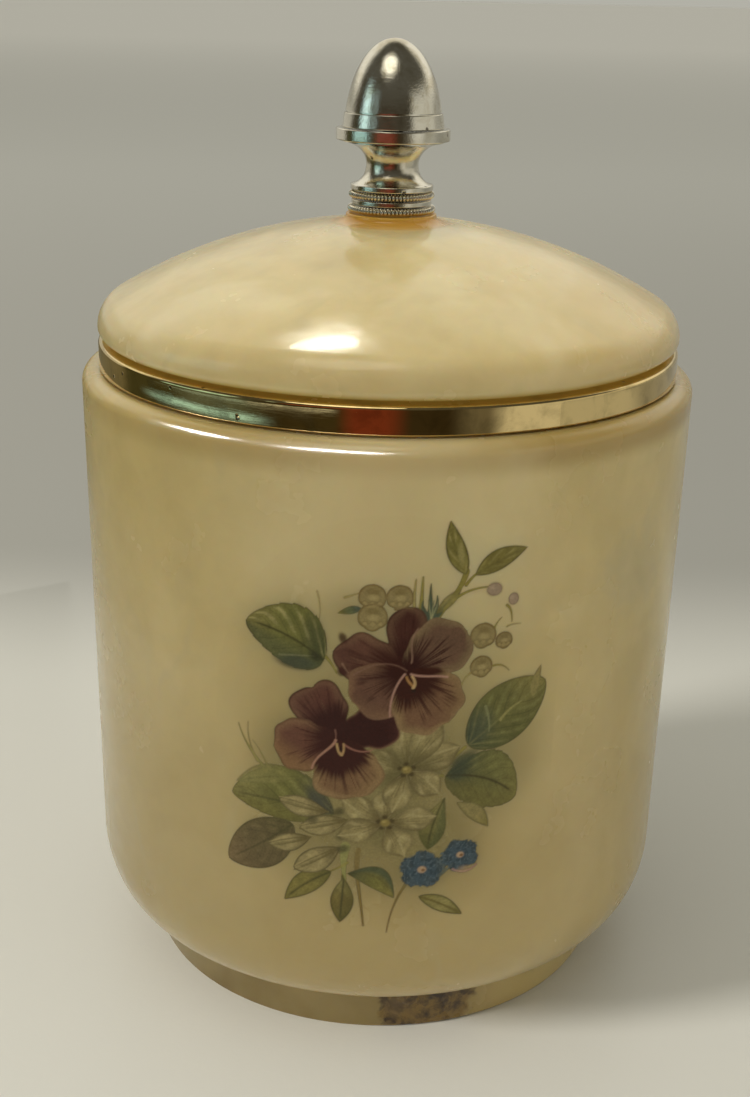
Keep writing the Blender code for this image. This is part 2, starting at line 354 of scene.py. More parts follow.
def beaded(name, low, high):
    """A ring whose edge is a row of round beads standing out of a thin web."""
    per_bead = 10
    columns = BEADS * per_bead
    rows = 16
    web = high.x - BEAD_REACH
    middle = (low.z + high.z) / 2
    half = (high.z - low.z) / 2
    angles = np.arange(columns) * math.tau / columns
    across = (np.arange(columns) % per_bead) / (per_bead / 2) - 1.0
    rings = []
    for height in np.linspace(-1.0, 1.0, rows + 1):
        dome = np.sqrt(np.clip(1.0 - across**2 - height**2, 0.0, 1.0))
        side = web - 0.0003 * max(0.0, abs(height) - 0.6) + BEAD_REACH * dome
        level = middle + half * height
        rings.append(np.stack([side * np.sin(angles), -side * np.cos(angles), np.full(columns, level)], 1))
    bore = np.stack([CLEAR_RADIUS * np.sin(angles), -CLEAR_RADIUS * np.cos(angles)], 1)
    for level in (high.z, low.z):
        rings.append(np.column_stack([bore, np.full(columns, level)]))
    return smoothed(wrapped(name, rings, closed=True), 60)


def threaded_stud(name):
    """The stud with its screw thread as one helical ridge, and a chamfer at each end."""
    sides = 40
    rows = int((STUD_HIGH.z - STUD_LOW.z) / THREAD_PITCH * 6)
    chamfer = 0.0005
    angles = np.arange(sides) * math.tau / sides
    rings = [[(0.0, 0.0, STUD_LOW.z)]]
    for height in np.linspace(STUD_LOW.z, STUD_HIGH.z, rows + 1):
        phase = (height / THREAD_PITCH - angles / math.tau) % 1.0
        ridge = np.abs(phase * 2.0 - 1.0)
        end = min(height - STUD_LOW.z, STUD_HIGH.z - height)
        radius = STUD_HIGH.x - THREAD_DEPTH * ridge - max(0.0, chamfer - end)
        rings.append(np.stack([radius * np.sin(angles), -radius * np.cos(angles), np.full(sides, height)], 1))
    rings.append([(0.0, 0.0, STUD_HIGH.z)])
    return smoothed(wrapped(name, rings, closed=False), 50)


def hexagonal_nut(name):
    """A hexagonal nut with the curved chamfers of a turned hexagon bar."""
    flats = NUT_HIGH.y
    sides = 96
    angles = np.arange(sides) * math.tau / sides
    hexagon = flats / np.cos((angles % (math.pi / 3)) - math.pi / 6)
    chamfer_start, chamfer_slope = flats * 0.985, 0.55
    countersink = 0.0004
    drop = (hexagon - chamfer_start) * chamfer_slope
    inner = np.full(sides, flats * 0.95)
    bore = np.full(sides, CLEAR_RADIUS)
    mouth = np.full(sides, CLEAR_RADIUS + countersink)
    low, high = NUT_LOW.z, NUT_HIGH.z
    sections = [
        (bore, low + countersink),
        (mouth, low),
        (inner, low),
        (hexagon, low + drop),
        (hexagon, high - drop),
        (inner, high),
        (mouth, high),
        (bore, high - countersink),
    ]
    rings = []
    for radius, level in sections:
        levels = np.broadcast_to(level, sides)
        rings.append(np.stack([radius * np.cos(angles), radius * np.sin(angles), levels], 1))
    return smoothed(wrapped(name, rings, closed=True), 25)


# ---------------------------------------------------------------- material nodes

class Nodes:
    """Adds nodes to a tree. Every method returns an output socket, and takes sockets or plain values."""

    def __init__(self, tree):
        self.tree = tree
        tree.nodes.clear()

    def add(self, kind, inputs, **settings):
        node = self.tree.nodes.new("ShaderNode" + kind)
        for key, value in settings.items():
            setattr(node, key, value)
        for key, value in inputs.items():
            if isinstance(value, bpy.types.NodeSocket):
                self.tree.links.new(value, node.inputs[key])
            else:
                node.inputs[key].default_value = value
        return node

    def place(self):
        """The point in the object's own metres."""
        return self.add("TexCoord", {}).outputs["Object"]

    def parts(self, vector):
        return self.add("SeparateXYZ", {0: vector}).outputs

    def scaled(self, vector, factors):
        return self.add("VectorMath", {0: vector, 1: factors}, operation="MULTIPLY").outputs[0]

    def shifted(self, vector, by):
        return self.add("VectorMath", {0: vector, 1: by}, operation="ADD").outputs[0]

    def math(self, operation, first, second=0.0, clamp=False):
        node = self.add("Math", {0: first, 1: second}, operation=operation, use_clamp=clamp)
        return node.outputs[0]

    def times(self, first, second):
        return self.math("MULTIPLY", first, second)

    def noise(self, vector, scale, detail=2.0, roughness=0.5, distortion=0.0):
        settings = {"Vector": vector, "Scale": scale, "Detail": detail}
        settings.update({"Roughness": roughness, "Distortion": distortion})
        return self.add("TexNoise", settings).outputs["Fac"]

    def span(self, value, low, high, to_low=0.0, to_high=1.0):
        """Value eased from to_low at low to to_high at high, and held beyond them."""
        inputs = {0: value, 1: low, 2: high, 3: to_low, 4: to_high}
        return self.add("MapRange", inputs, interpolation_type="SMOOTHSTEP").outputs[0]

    def mixed(self, factor, first, second, how="MIX"):
        node = self.add("Mix", {0: factor, 6: first, 7: second}, data_type="RGBA", blend_type=how)
        return node.outputs[2]

    def spot(self, vector, centre, radius, ragged=0.0, scale=200.0):
        """1 at a point and 0 beyond a radius, with an outline made ragged by noise."""
        far = self.add("VectorMath", {0: vector, 1: centre}, operation="DISTANCE").outputs["Value"]
        if ragged:
            rough = self.noise(vector, scale, 3.0, 0.6)
            far = self.math("ADD", far, self.times(self.math("SUBTRACT", rough, 0.5), ragged))
        return self.span(far, radius * 0.35, radius, 1.0, 0.0)

    def flecks(self, vector, scale, size, share):
        """Sparse round dots: one to a cell, in only a share of the cells."""
        cell = self.add("TexVoronoi", {"Vector": vector, "Scale": scale})
        dot = self.span(cell.outputs["Distance"], size * 0.5, size, 1.0, 0.0)
        pick = self.parts(cell.outputs["Color"])[0]
        return self.times(dot, self.math("LESS_THAN", pick, share))

    def bump(self, height, depth, normal=None):
        inputs = {"Height": height, "Distance": depth, "Strength": 1.0}
        if normal:
            inputs["Normal"] = normal
        return self.add("Bump", inputs).outputs["Normal"]

    def principled(self, **inputs):
        named = {key.replace("_", " "): value for key, value in inputs.items()}
        shader = self.add("BsdfPrincipled", named)
        self.add("OutputMaterial", {"Surface": shader.outputs[0]})


def material(name):
    made = bpy.data.materials.new(name)
    made.use_nodes = True
    return made, Nodes(made.node_tree)


def rgb(red, green, blue):
    return (red, green, blue, 1.0)


def polish(nodes, place, base, depth=0.006, **glow):
    """The gloss that every alabaster piece shares: soft depth under a hand-polished surface."""
    swirl = nodes.noise(place, 95.0, 2.0, 0.5)
    fine = nodes.noise(place, 900.0, 2.0, 0.6)
    normal = nodes.bump(swirl, 0.00025)
    normal = nodes.bump(fine, 0.000012, normal)
    rough = nodes.span(nodes.noise(place, 60.0, 4.0, 0.6), 0.3, 0.7, 0.16, 0.30)
    nodes.principled(
        Base_Color=base,
        Roughness=rough,
        Subsurface_Weight=0.55,
        Subsurface_Radius=(1.0, 0.62, 0.28),
        Subsurface_Scale=depth,
        IOR=1.50,
        Coat_Weight=0.33,
        Coat_Roughness=0.05,
        Normal=normal,
        **glow,
    )


def clouds(nodes, place, dark, middle, light):
    """Slow clouding of the stone, with fainter, finer mottling over it."""
    bent = nodes.shifted(place, (0.31, 0.17, 0.05))
    slow = nodes.noise(bent, 26.0, 3.0, 0.55, 0.6)
    fine = nodes.noise(bent, 120.0, 4.0, 0.6, 0.3)
    base = nodes.mixed(nodes.span(slow, 0.36, 0.52), dark, middle)
    base = nodes.mixed(nodes.span(slow, 0.52, 0.68), base, light)
    tint = nodes.span(fine, 0.3, 0.7, 0.96, 1.03)
    grey = nodes.add("CombineColor", {0: tint, 1: tint, 2: tint}).outputs[0]
    return nodes.mixed(1.0, base, grey, "MULTIPLY")


def veined(nodes, place, base, colour, strength, slope):
    """Thin broken veins that run along one slanted direction."""
    along = nodes.scaled(place, slope)
    field = nodes.noise(along, 30.0, 3.0, 0.5, 0.5)
    line = nodes.span(nodes.math("ABSOLUTE", nodes.math("SUBTRACT", field, 0.5)), 0.0, 0.030, 1.0, 0.0)
    broken = nodes.span(nodes.noise(place, 48.0, 2.0), 0.48, 0.68)
    amount = nodes.times(nodes.times(line, broken), strength)
    return nodes.mixed(amount, base, colour)


def body_stone():
    made, nodes = material("alabaster_body")
    place = nodes.place()
    base = clouds(nodes, place, rgb(0.60, 0.47, 0.195), rgb(0.65, 0.515, 0.228), rgb(0.70, 0.565, 0.268))
    height = nodes.parts(place)[2]
    # Painted shade: the body is darker towards the bottom.
    low = nodes.span(height, 0.020, 0.100, 0.60, 0.0)
    base = nodes.mixed(low, base, rgb(0.45, 0.33, 0.125))
    # Painted shade and painted dark reflection: a dark strip on the shoulder just under the band, weaker on
    # the left.
    shade_under_band = nodes.span(height, 0.1074, 0.1108)
    shade_under_band = nodes.times(shade_under_band, nodes.span(nodes.parts(place)[0], -0.045, -0.010, 0.25, 0.70))
    base = nodes.mixed(shade_under_band, base, rgb(0.38, 0.25, 0.06))
    base = veined(nodes, place, base, rgb(0.52, 0.44, 0.24), 0.22, (1.0, 1.0, 0.55))
    side_vein = nodes.spot(place, (0.042, -0.034, 0.088), 0.012, 0.016, 160.0)
    base = nodes.mixed(nodes.times(side_vein, 0.22), base, rgb(0.40, 0.38, 0.28))
    # Painted light: a paler patch on the body's front near the top.
    pale = nodes.spot(place, (0.000, -0.056, 0.098), 0.034, 0.02, 60.0)
    base = nodes.mixed(nodes.times(pale, 0.55), base, rgb(0.80, 0.68, 0.40))
    specks = nodes.flecks(place, 75.0, 0.035, 0.05)
    base = nodes.mixed(nodes.times(specks, 0.75), base, rgb(0.10, 0.07, 0.04))
    polish(nodes, place, base)
    return made


def lid_stone():
    made, nodes = material("alabaster_lid")
    place = nodes.place()
    base = clouds(nodes, place, rgb(0.64, 0.51, 0.245), rgb(0.72, 0.59, 0.30), rgb(0.80, 0.68, 0.39))
    shade = nodes.spot(place, (-0.037, -0.033, 0.128), 0.016, 0.018, 90.0)
    base = nodes.mixed(nodes.times(shade, 0.15), base, rgb(0.56, 0.46, 0.24))
    # Painted shade: the lid darker at the front of its rim.
    rim = nodes.spot(place, (0.006, -0.051, 0.123), 0.022, 0.02, 90.0)
    base = nodes.mixed(nodes.times(rim, 0.12), base, rgb(0.56, 0.43, 0.22))
    # Painted shade: the lid darker and warmer towards its right side.
    right = nodes.span(nodes.parts(place)[0], 0.005, 0.050, 0.0, 0.55)
    base = nodes.mixed(right, base, rgb(0.60, 0.43, 0.16))
    base = veined(nodes, place, base, rgb(0.56, 0.47, 0.26), 0.25, (0.8, 1.0, 1.0))
    specks = nodes.flecks(place, 95.0, 0.045, 0.10)
    base = nodes.mixed(nodes.times(specks, 0.8), base, rgb(0.09, 0.06, 0.03))
    x, y, z = nodes.parts(place)
    across = nodes.math("SQRT", nodes.math("ADD", nodes.times(x, x), nodes.times(y, y)))
    # Painted glow: the stone round the foot of the boss tinted amber and faintly glowing, standing in for
    # light through the thin stone.
    near_boss = nodes.span(across, 0.0083, 0.0120, 1.0, 0.0)
    above = nodes.span(z, 0.1350, 0.1386)
    boss_glow = nodes.times(near_boss, above)
    base = nodes.mixed(nodes.times(boss_glow, 0.95), base, rgb(0.60, 0.27, 0.012))
    # Painted glow: the lid's underside above the band's ledge tinted gold and faintly glowing, standing in
    # for light through the stone, for the ledge to reflect.
    underside_glow = nodes.times(nodes.span(z, 0.1194, 0.1206, 1.0, 0.0), nodes.span(across, 0.0440, 0.0470))
    base = nodes.mixed(nodes.times(underside_glow, 0.7), base, rgb(0.56, 0.42, 0.10))
    # Both painted glows shine as emission.
    painted_glow = nodes.math("ADD", nodes.times(underside_glow, 0.09), nodes.times(boss_glow, 0.05))
    polish(nodes, place, base, Emission_Color=rgb(1.0, 0.74, 0.18), Emission_Strength=painted_glow)
    return made


def foot_stone():
    made, nodes = material("alabaster_foot")
    place = nodes.place()
    base = clouds(nodes, place, rgb(0.29, 0.205, 0.062), rgb(0.35, 0.255, 0.088), rgb(0.41, 0.31, 0.125))
    # Painted light: the foot paler towards its right side.
    base = nodes.mixed(nodes.span(nodes.parts(place)[0], 0.012, 0.032), base, rgb(0.62, 0.48, 0.20))
    patch = nodes.spot(place, (0.0100, -0.0430, 0.0055), 0.0120, 0.007, 260.0)
    grain = nodes.noise(place, 420.0, 4.0, 0.65, 0.4)
    brown = nodes.mixed(nodes.span(grain, 0.35, 0.65), rgb(0.035, 0.015, 0.003), rgb(0.26, 0.16, 0.035))
    base = nodes.mixed(nodes.span(patch, 0.15, 0.45), base, brown)
    base = veined(nodes, place, base, rgb(0.24, 0.15, 0.05), 0.8, (1.0, 1.0, 0.6))
    polish(nodes, place, base, 0.0012)
    return made


def plated(name, colour, tarnish, rough_low, rough_high, spin, pits, marked=0.000010, worn=0.000004):
    """Bright plating: turning marks round the axis, hairline scratches, tarnish clouds and a few pits."""
    made, nodes = material(name)
    place = nodes.place()
    stretched = nodes.scaled(place, (1.0, 1.0, spin))
    marks = nodes.noise(stretched, 260.0, 3.0, 0.6)
    hair = nodes.noise(nodes.scaled(place, (0.25, 1.0, 3.0)), 1400.0, 2.0, 0.7)
    cloud = nodes.noise(place, 210.0, 4.0, 0.62, 0.4)
    base = nodes.mixed(nodes.span(cloud, 0.42, 0.70, 0.0, 0.75), colour, tarnish)
    pit = nodes.flecks(place, 520.0, 0.22, pits)
    base = nodes.mixed(nodes.times(pit, 0.8), base, rgb(0.07, 0.05, 0.03))
    rough = nodes.span(marks, 0.35, 0.68, rough_low, rough_high)
    rough = nodes.math("ADD", rough, nodes.span(cloud, 0.5, 0.8, 0.0, rough_high))
    grit = nodes.noise(place, 3200.0, 3.0, 0.65)
    normal = nodes.bump(marks, marked)
    normal = nodes.bump(hair, marked * 0.4, normal)
    normal = nodes.bump(grit, worn, normal)
    normal = nodes.bump(nodes.times(pit, -1.0), 0.00005, normal)
    nodes.principled(Base_Color=base, Metallic=1.0, Roughness=rough, Normal=normal)
    return made


def fibre_board():
    made, nodes = material("fibre")
    place = nodes.place()
    strands = nodes.noise(nodes.scaled(place, (1.0, 0.3, 1.0)), 1500.0, 4.0, 0.7)
    base = nodes.mixed(strands, rgb(0.16, 0.035, 0.02), rgb(0.42, 0.12, 0.07))
    nodes.principled(Base_Color=base, Roughness=0.85, Normal=nodes.bump(strands, 0.00006))
    return made


def ink_print():
    made, nodes = material("flower_print")
    place = nodes.place()
    painted = nodes.add("Attribute", {}, attribute_name="ink", attribute_type="GEOMETRY")
    grain = nodes.span(nodes.noise(place, 2600.0, 2.0, 0.6), 0.3, 0.7, 0.90, 1.08)
    tone = nodes.add("CombineColor", {0: grain, 1: grain, 2: grain}).outputs[0]
    base = nodes.mixed(1.0, painted.outputs["Color"], tone, "MULTIPLY")
    normal = nodes.bump(nodes.noise(place, 95.0, 2.0, 0.5), 0.00025)
    nodes.principled(
        Base_Color=base,
        Roughness=0.24,
        IOR=1.50,
        Specular_IOR_Level=0.22,
        Alpha=painted.outputs["Alpha"],
        Normal=normal,
    )
    return made


def floor_paint():
    made, nodes = material("pale_floor")
    place = nodes.place()
    cloud = nodes.noise(place, 3.0, 3.0, 0.5)
    base = nodes.mixed(nodes.span(cloud, 0.3, 0.7), rgb(0.650, 0.645, 0.585), rgb(0.680, 0.672, 0.615))
    back = nodes.parts(place)[1]
    # Painted light and shade: the floor darker in a band behind the jar, then paler far off.
    base = nodes.mixed(nodes.span(back, 0.09, 0.21), base, rgb(0.335, 0.33, 0.295))
    base = nodes.mixed(nodes.span(back, 0.30, 1.5), base, rgb(0.50, 0.50, 0.455))
    base = nodes.mixed(nodes.span(back, 1.5, 7.0), base, rgb(0.73, 0.72, 0.665))
    grain = nodes.noise(place, 700.0, 2.0, 0.6)
    nodes.principled(Base_Color=base, Roughness=0.42, Normal=nodes.bump(grain, 0.00002))
    return made


# ---------------------------------------------------------------- printed flower spray

def ink(colour):
    """A print colour, from how it looks in dim light (0 to 255 each) to the ink's own linear colour."""
    if not isinstance(colour, tuple):
        return colour
    values = np.array(colour) / 255.0
    linear = np.where(values <= 0.04045, values / 12.92, ((values + 0.055) / 1.055) ** 2.4)
    return np.minimum(linear * INK_GAIN, 0.95)


def ease(value, low, high):
    t = np.clip((value - low) / (high - low), 0.0, 1.0)
    return t * t * (3.0 - 2.0 * t)


def lerp(first, second, amount):
    """From one colour to another, by an amount that is an array over the sheet."""
    first, second = ink(first), ink(second)
    return first + (second - first) * amount[..., None]


def hashed(i, j, seed):
    wave = np.sin(i * 127.1 + j * 311.7 + seed * 74.7) * 43758.5453
    return wave - np.floor(wave)


def mottle(x, y, seed):
    """Smooth noise from 0 to 1 with features about one unit across."""
    i, j = np.floor(x), np.floor(y)
    u, v = ease(x - i, 0.0, 1.0), ease(y - j, 0.0, 1.0)
    low = hashed(i, j, seed) * (1 - u) + hashed(i + 1, j, seed) * u
    high = hashed(i, j + 1, seed) * (1 - u) + hashed(i + 1, j + 1, seed) * u
    return low * (1 - v) + high * v


def heading(angle):
    """The unit vector at an angle in degrees."""
    return math.cos(math.radians(angle)), math.sin(math.radians(angle))


class Print:
    """A transfer sheet painted in layers on a fine grid; x runs round the jar and z up it, in millimetres.

    Colours are three numbers from 0 to 255, as they look in dim light.
    """

    def __init__(self):
        columns = np.arange(PRINT_LEFT, PRINT_RIGHT, PRINT_STEP)
        rows = np.arange(PRINT_BOTTOM, PRINT_TOP, PRINT_STEP)
        self.x, self.z = np.meshgrid(columns, rows)
        self.cover = np.zeros(self.x.shape)
        self.colour = self.flat((122, 111, 72))

    def flat(self, colour):
        return np.zeros((*self.x.shape, 3)) + ink(colour)

    def noise(self, scale, seed):
        return mottle(self.x * scale, self.z * scale, seed)

    def lay(self, cover, colour):
        """Paints over what is there, as much as cover says."""
        cover = np.clip(cover, 0.0, 1.0)
        kept = self.cover * (1.0 - cover)
        total = cover + kept
        share = np.where(total > 1e-6, cover / np.maximum(total, 1e-6), 0.0)
        self.colour = lerp(self.colour, colour, share)
        self.cover = total

    def inside(self, margin):
        """Distance inside an outline in millimetres, from any measure that is positive inside it."""
        down, right = np.gradient(margin, PRINT_STEP)
        return margin / np.maximum(np.hypot(down, right), 1e-3)

    def axes(self, start, end):
        """Length from start to end, and every point's place along that line (0 to 1) and to its left."""
        dx, dz = self.x - start[0], self.z - start[1]
        length = math.hypot(end[0] - start[0], end[1] - start[1])
        ahead = (end[0] - start[0]) / length, (end[1] - start[1]) / length
        return length, (dx * ahead[0] + dz * ahead[1]) / length, dz * ahead[0] - dx * ahead[1]

    def blot(self, x, z, wide, high, colour, softness=0.5, amount=1.0, turn=0.0):
        """A soft-edged elliptical touch of the brush."""
        c, s = heading(turn)
        dx, dz = self.x - x, self.z - z
        far = np.hypot((dx * c + dz * s) / wide, (dz * c - dx * s) / high)
        self.lay(amount * (1.0 - ease(far, 1.0 - softness, 1.0 + softness * 0.3)), colour)

    def stroke(self, route, width, colour, amount=1.0, thin_start=1.0, thin_end=0.3):
        """A brush line of changing width along a Bezier curve with control points x, z, x, z, ..."""
        points = np.array(route, float).reshape(-1, 2)
        t = np.linspace(0.0, 1.0, 20)[:, None]
        order = len(points) - 1
        curve = sum(math.comb(order, k) * (1 - t) ** (order - k) * t**k * points[k] for k in range(order + 1))
        low, high = curve.min(0) - width - 1.0, curve.max(0) + width + 1.0
        near = (self.x > low[0]) & (self.x < high[0]) & (self.z > low[1]) & (self.z < high[1])
        px, pz = self.x[near], self.z[near]
        best = np.full(px.shape, 1e9)
        for k in range(len(curve) - 1):
            a, d = curve[k], curve[k + 1] - curve[k]
            along = np.clip(((px - a[0]) * d[0] + (pz - a[1]) * d[1]) / (d @ d), 0.0, 1.0)
            share = (k + along) / (len(curve) - 1)
            half = width / 2 * (thin_start + (thin_end - thin_start) * share)
            best = np.minimum(best, np.hypot(px - a[0] - along * d[0], pz - a[1] - along * d[1]) - half)
        cover = np.zeros(self.x.shape)
        cover[near] = amount * (1.0 - ease(best, -0.10, 0.16))
        self.lay(cover, colour)

    def touches(self, *rows):
        """Blots and strokes in order: a stroke's row starts with its route, a blot's with its place."""
        for row in rows:
            if isinstance(row[0], tuple):
                self.stroke(*row)
            else:
                self.blot(*row)

    def leaf(self, base, tip, left, right, bend, shades, belly=0.45, **look):
        """A leaf from base to tip. Left and right are its half widths looking from base to tip, bend bows
        its midrib to the left, and shades are its colours at the base, middle and tip."""
        length, t, offset = self.axes(base, tip)
        held = np.clip(t, 0.0, 1.0)
        offset = offset - bend * 4.0 * held * (1.0 - held)
        wide = np.where(offset > 0, left, right)
        profile = np.sin(math.pi * held ** (math.log(0.5) / math.log(belly))) ** look.get("round", 0.85)
        if "teeth" in look:
            profile = profile * (1.0 + 0.05 * ((held * look["teeth"]) % 1.0 - 0.5))
        side = offset / np.maximum(wide * profile, 1e-3)
        spread = np.abs(side)
        ends = np.minimum(t, 1.0 - t) * length * 0.9 + 0.05
        depth = self.inside(np.minimum(profile * wide - np.abs(offset), ends))
        colour = lerp(self.flat(shades[0]), shades[1], ease(held, 0.0, 0.5))
        colour = lerp(colour, shades[2], ease(held, 0.5, 1.0))
        for key, way in (("left_wash", 1.0), ("right_wash", -1.0)):
            if key in look:
                shade, amount = look[key]
                colour = lerp(colour, shade, ease(side * way, -0.05, 0.6) * amount)
        veins = look.get("veins", 5)
        ribs = (held - 0.34 * spread - 0.10 * spread**2) * veins + 0.3
        between = np.abs((ribs % 1.0) - 0.5) * 2.0
        wash = self.noise(1.1, veins)
        if "stripe" in look:
            shade, amount, way = look["stripe"]
            light = ease(between, 0.45, 0.95) * (1.0 - ease(spread, 0.75, 1.0)) * ease(spread, 0.08, 0.3)
            only = ease(side * way, 0.0, 0.2) if way else 1.0
            colour = lerp(colour, shade, light * amount * only * (0.5 + 0.5 * wash))
        dark = (1.0 - ease(between, 0.0, 0.16)) * (1.0 - ease(spread, 0.7, 1.0)) * look.get("rib", 0.4)
        colour = colour * (1.0 - 0.45 * dark)[..., None]
        colour = colour * (0.86 + 0.28 * wash)[..., None]
        brush = mottle(self.x * 2.4 + self.z * 1.2, self.z * 5.0 - self.x * 2.5, 7)
        colour = colour * (0.93 + 0.14 * brush)[..., None]
        shade, amount = look.get("midrib", ((52, 50, 26), 0.7))
        colour = lerp(colour, shade, np.exp(-((offset / 0.22) ** 2)) * (1.0 - ease(held, 0.8, 1.0)) * amount)
        shade, amount, width = look.get("rim", ((58, 56, 30), 0.35, 0.28))
        colour = lerp(colour, shade, np.exp(-((depth / width) ** 2)) * amount)
        self.lay(np.clip(depth / 0.24 + 0.5, 0.0, 1.0) * look.get("amount", 0.96), colour)

    def petal(self, throat, tip, left, right, shades, blotch, **look):
        """A petal from the flower's throat to its tip. Left and right are its half widths looking that way,
        shades are its throat, middle and rim colours, and blotch is how far the throat colour reaches."""
        length, along, side = self.axes(throat, tip)
        far = np.hypot(along, side / length)
        angle = np.degrees(np.arctan2(side, along * length))
        still = np.zeros(angle.shape)
        seed = look.get("seed", 1)
        around = np.arctan2(side, (along - 0.5) * length)
        ripple = 1.0 + look.get("wave", 0.03) * np.cos(look.get("lobes", 7) * around + seed)
        ripple = ripple + 0.10 * (mottle(around * 1.7 + 9.0, still + seed, seed) - 0.5)
        ripple = ripple - look.get("notch", 0.0) * np.exp(-(((around - 0.10) / 0.16) ** 2))
        held = np.clip(0.5 + (along - 0.5) / ripple, 0.0, 1.0)
        side = side / ripple
        flare, square = look.get("flare", 0.52), look.get("square", 3.0)
        widest = (flare / (flare + 0.5 * square)) ** (1.0 / square)
        full = widest**flare * (1.0 - widest**square) ** 0.5
        wide = np.where(side > 0.0, left, right) * held**flare * np.sqrt(1.0 - held**square) / full
        ends = np.minimum(along + 0.04, 1.12 - along) * length
        depth = self.inside(np.minimum(wide - np.abs(side), ends))
        finer = mottle(angle * 0.55, far * 2.4, seed + 9)
        uneven = mottle(angle * 0.07, far * 1.2, seed + 3) * 0.5
        uneven = uneven + mottle(angle * 0.30, far * 1.6, seed + 13) * 0.3
        edge = blotch + look.get("feather", 0.12) * (uneven + finer * 0.5 - 0.65) * 2.0
        base, middle, rim = shades
        colour = lerp(self.flat(middle), rim, 1.0 - ease(depth, 0.2, 2.2))
        tone = self.noise(0.42, seed + 5) * 0.6 + self.noise(1.3, seed) * 0.4
        colour = colour * (0.88 + 0.24 * tone)[..., None]
        if "tint" in look:
            toward, start, end, shade, amount = look["tint"]
            c, s = heading(toward)
            reach = (self.x - throat[0]) * c + (self.z - throat[1]) * s
            colour = lerp(colour, shade, ease(reach, start, end) * amount)
        lines = ease(finer, 0.55, 0.80) * ease(far, 0.2, 0.45) * ease(depth, 0.3, 1.8)
        lines = lines * (1.0 - ease(far, edge + 0.06, edge + 0.30))
        colour = lerp(colour, base, lines * look.get("lines", 0.4))
        colour = lerp(colour, base, 1.0 - ease(far, edge - look.get("blur", 0.16), edge + 0.08))
        shade, amount = look["border"]
        border = np.exp(-((depth - 0.08) ** 2) / 0.26**2) * ease(far, 0.25, 0.6) * amount
        colour = lerp(colour, shade, border * (0.45 + 0.55 * mottle(angle * 0.08, still, seed + 7)))
        self.lay(np.clip(depth / 0.26 + 0.5, 0.0, 1.0), colour)

    def sheet(self, name, finish):
        """The painted part of the grid as a mesh wrapped on the jar's side."""
        shown = self.cover > 0.015
        block = shown[:-1, :-1] | shown[1:, :-1] | shown[:-1, 1:] | shown[1:, 1:]
        rows, columns = np.nonzero(block)
        width = self.x.shape[1]
        first = rows * width + columns
        faces = np.stack([first, first + 1, first + width + 1, first + width], 1)
        used, index = np.unique(faces, return_inverse=True)
        height = self.z.ravel()[used] / 1000.0
        radius = body_radius(height) + PRINT_LIFT
        angle = self.x.ravel()[used] / 1000.0 / radius
        points = np.stack([radius * np.sin(angle), -radius * np.cos(angle), height], 1)
        mesh = bpy.data.meshes.new(name)
        mesh.from_pydata(points.tolist(), [], index.reshape(-1, 4).tolist())
        layer = mesh.color_attributes.new("ink", "FLOAT_COLOR", "POINT")
        values = np.concatenate([self.colour.reshape(-1, 3)[used], self.cover.ravel()[used, None]], 1)
        layer.data.foreach_set("color", values.astype(np.float32).ravel())
        mesh.shade_smooth()
        return piece(name, mesh, finish, "jar", None)


def paint_halo(sheet):
    """The spray's soft pale-green ground."""
    for x, z, wide, high, amount in (
        (2.0, 66.0, 27.0, 33.0, 0.30),
        (1.0, 62.0, 19.0, 24.0, 0.45),
        (-5.0, 48.0, 17.0, 13.0, 0.40),
        (7.0, 44.0, 14.0, 13.0, 0.30),
    ):
        sheet.blot(x, z, wide, high, (122, 111, 72), 0.9, amount)
    for x, z, wide, high in (
        (-15.0, 81.5, 9.0, 8.5),
        (-16.0, 60.0, 7.0, 8.0),
        (-4.0, 86.5, 7.0, 5.0),
        (21.5, 60.0, 9.0, 12.0),
        (9.0, 47.0, 9.0, 9.0),
        (8.0, 63.0, 8.0, 5.0),
        (-4.0, 47.0, 9.0, 6.0),
    ):
        sheet.blot(x, z, wide, high, (114, 106, 68), 0.95, 0.26)


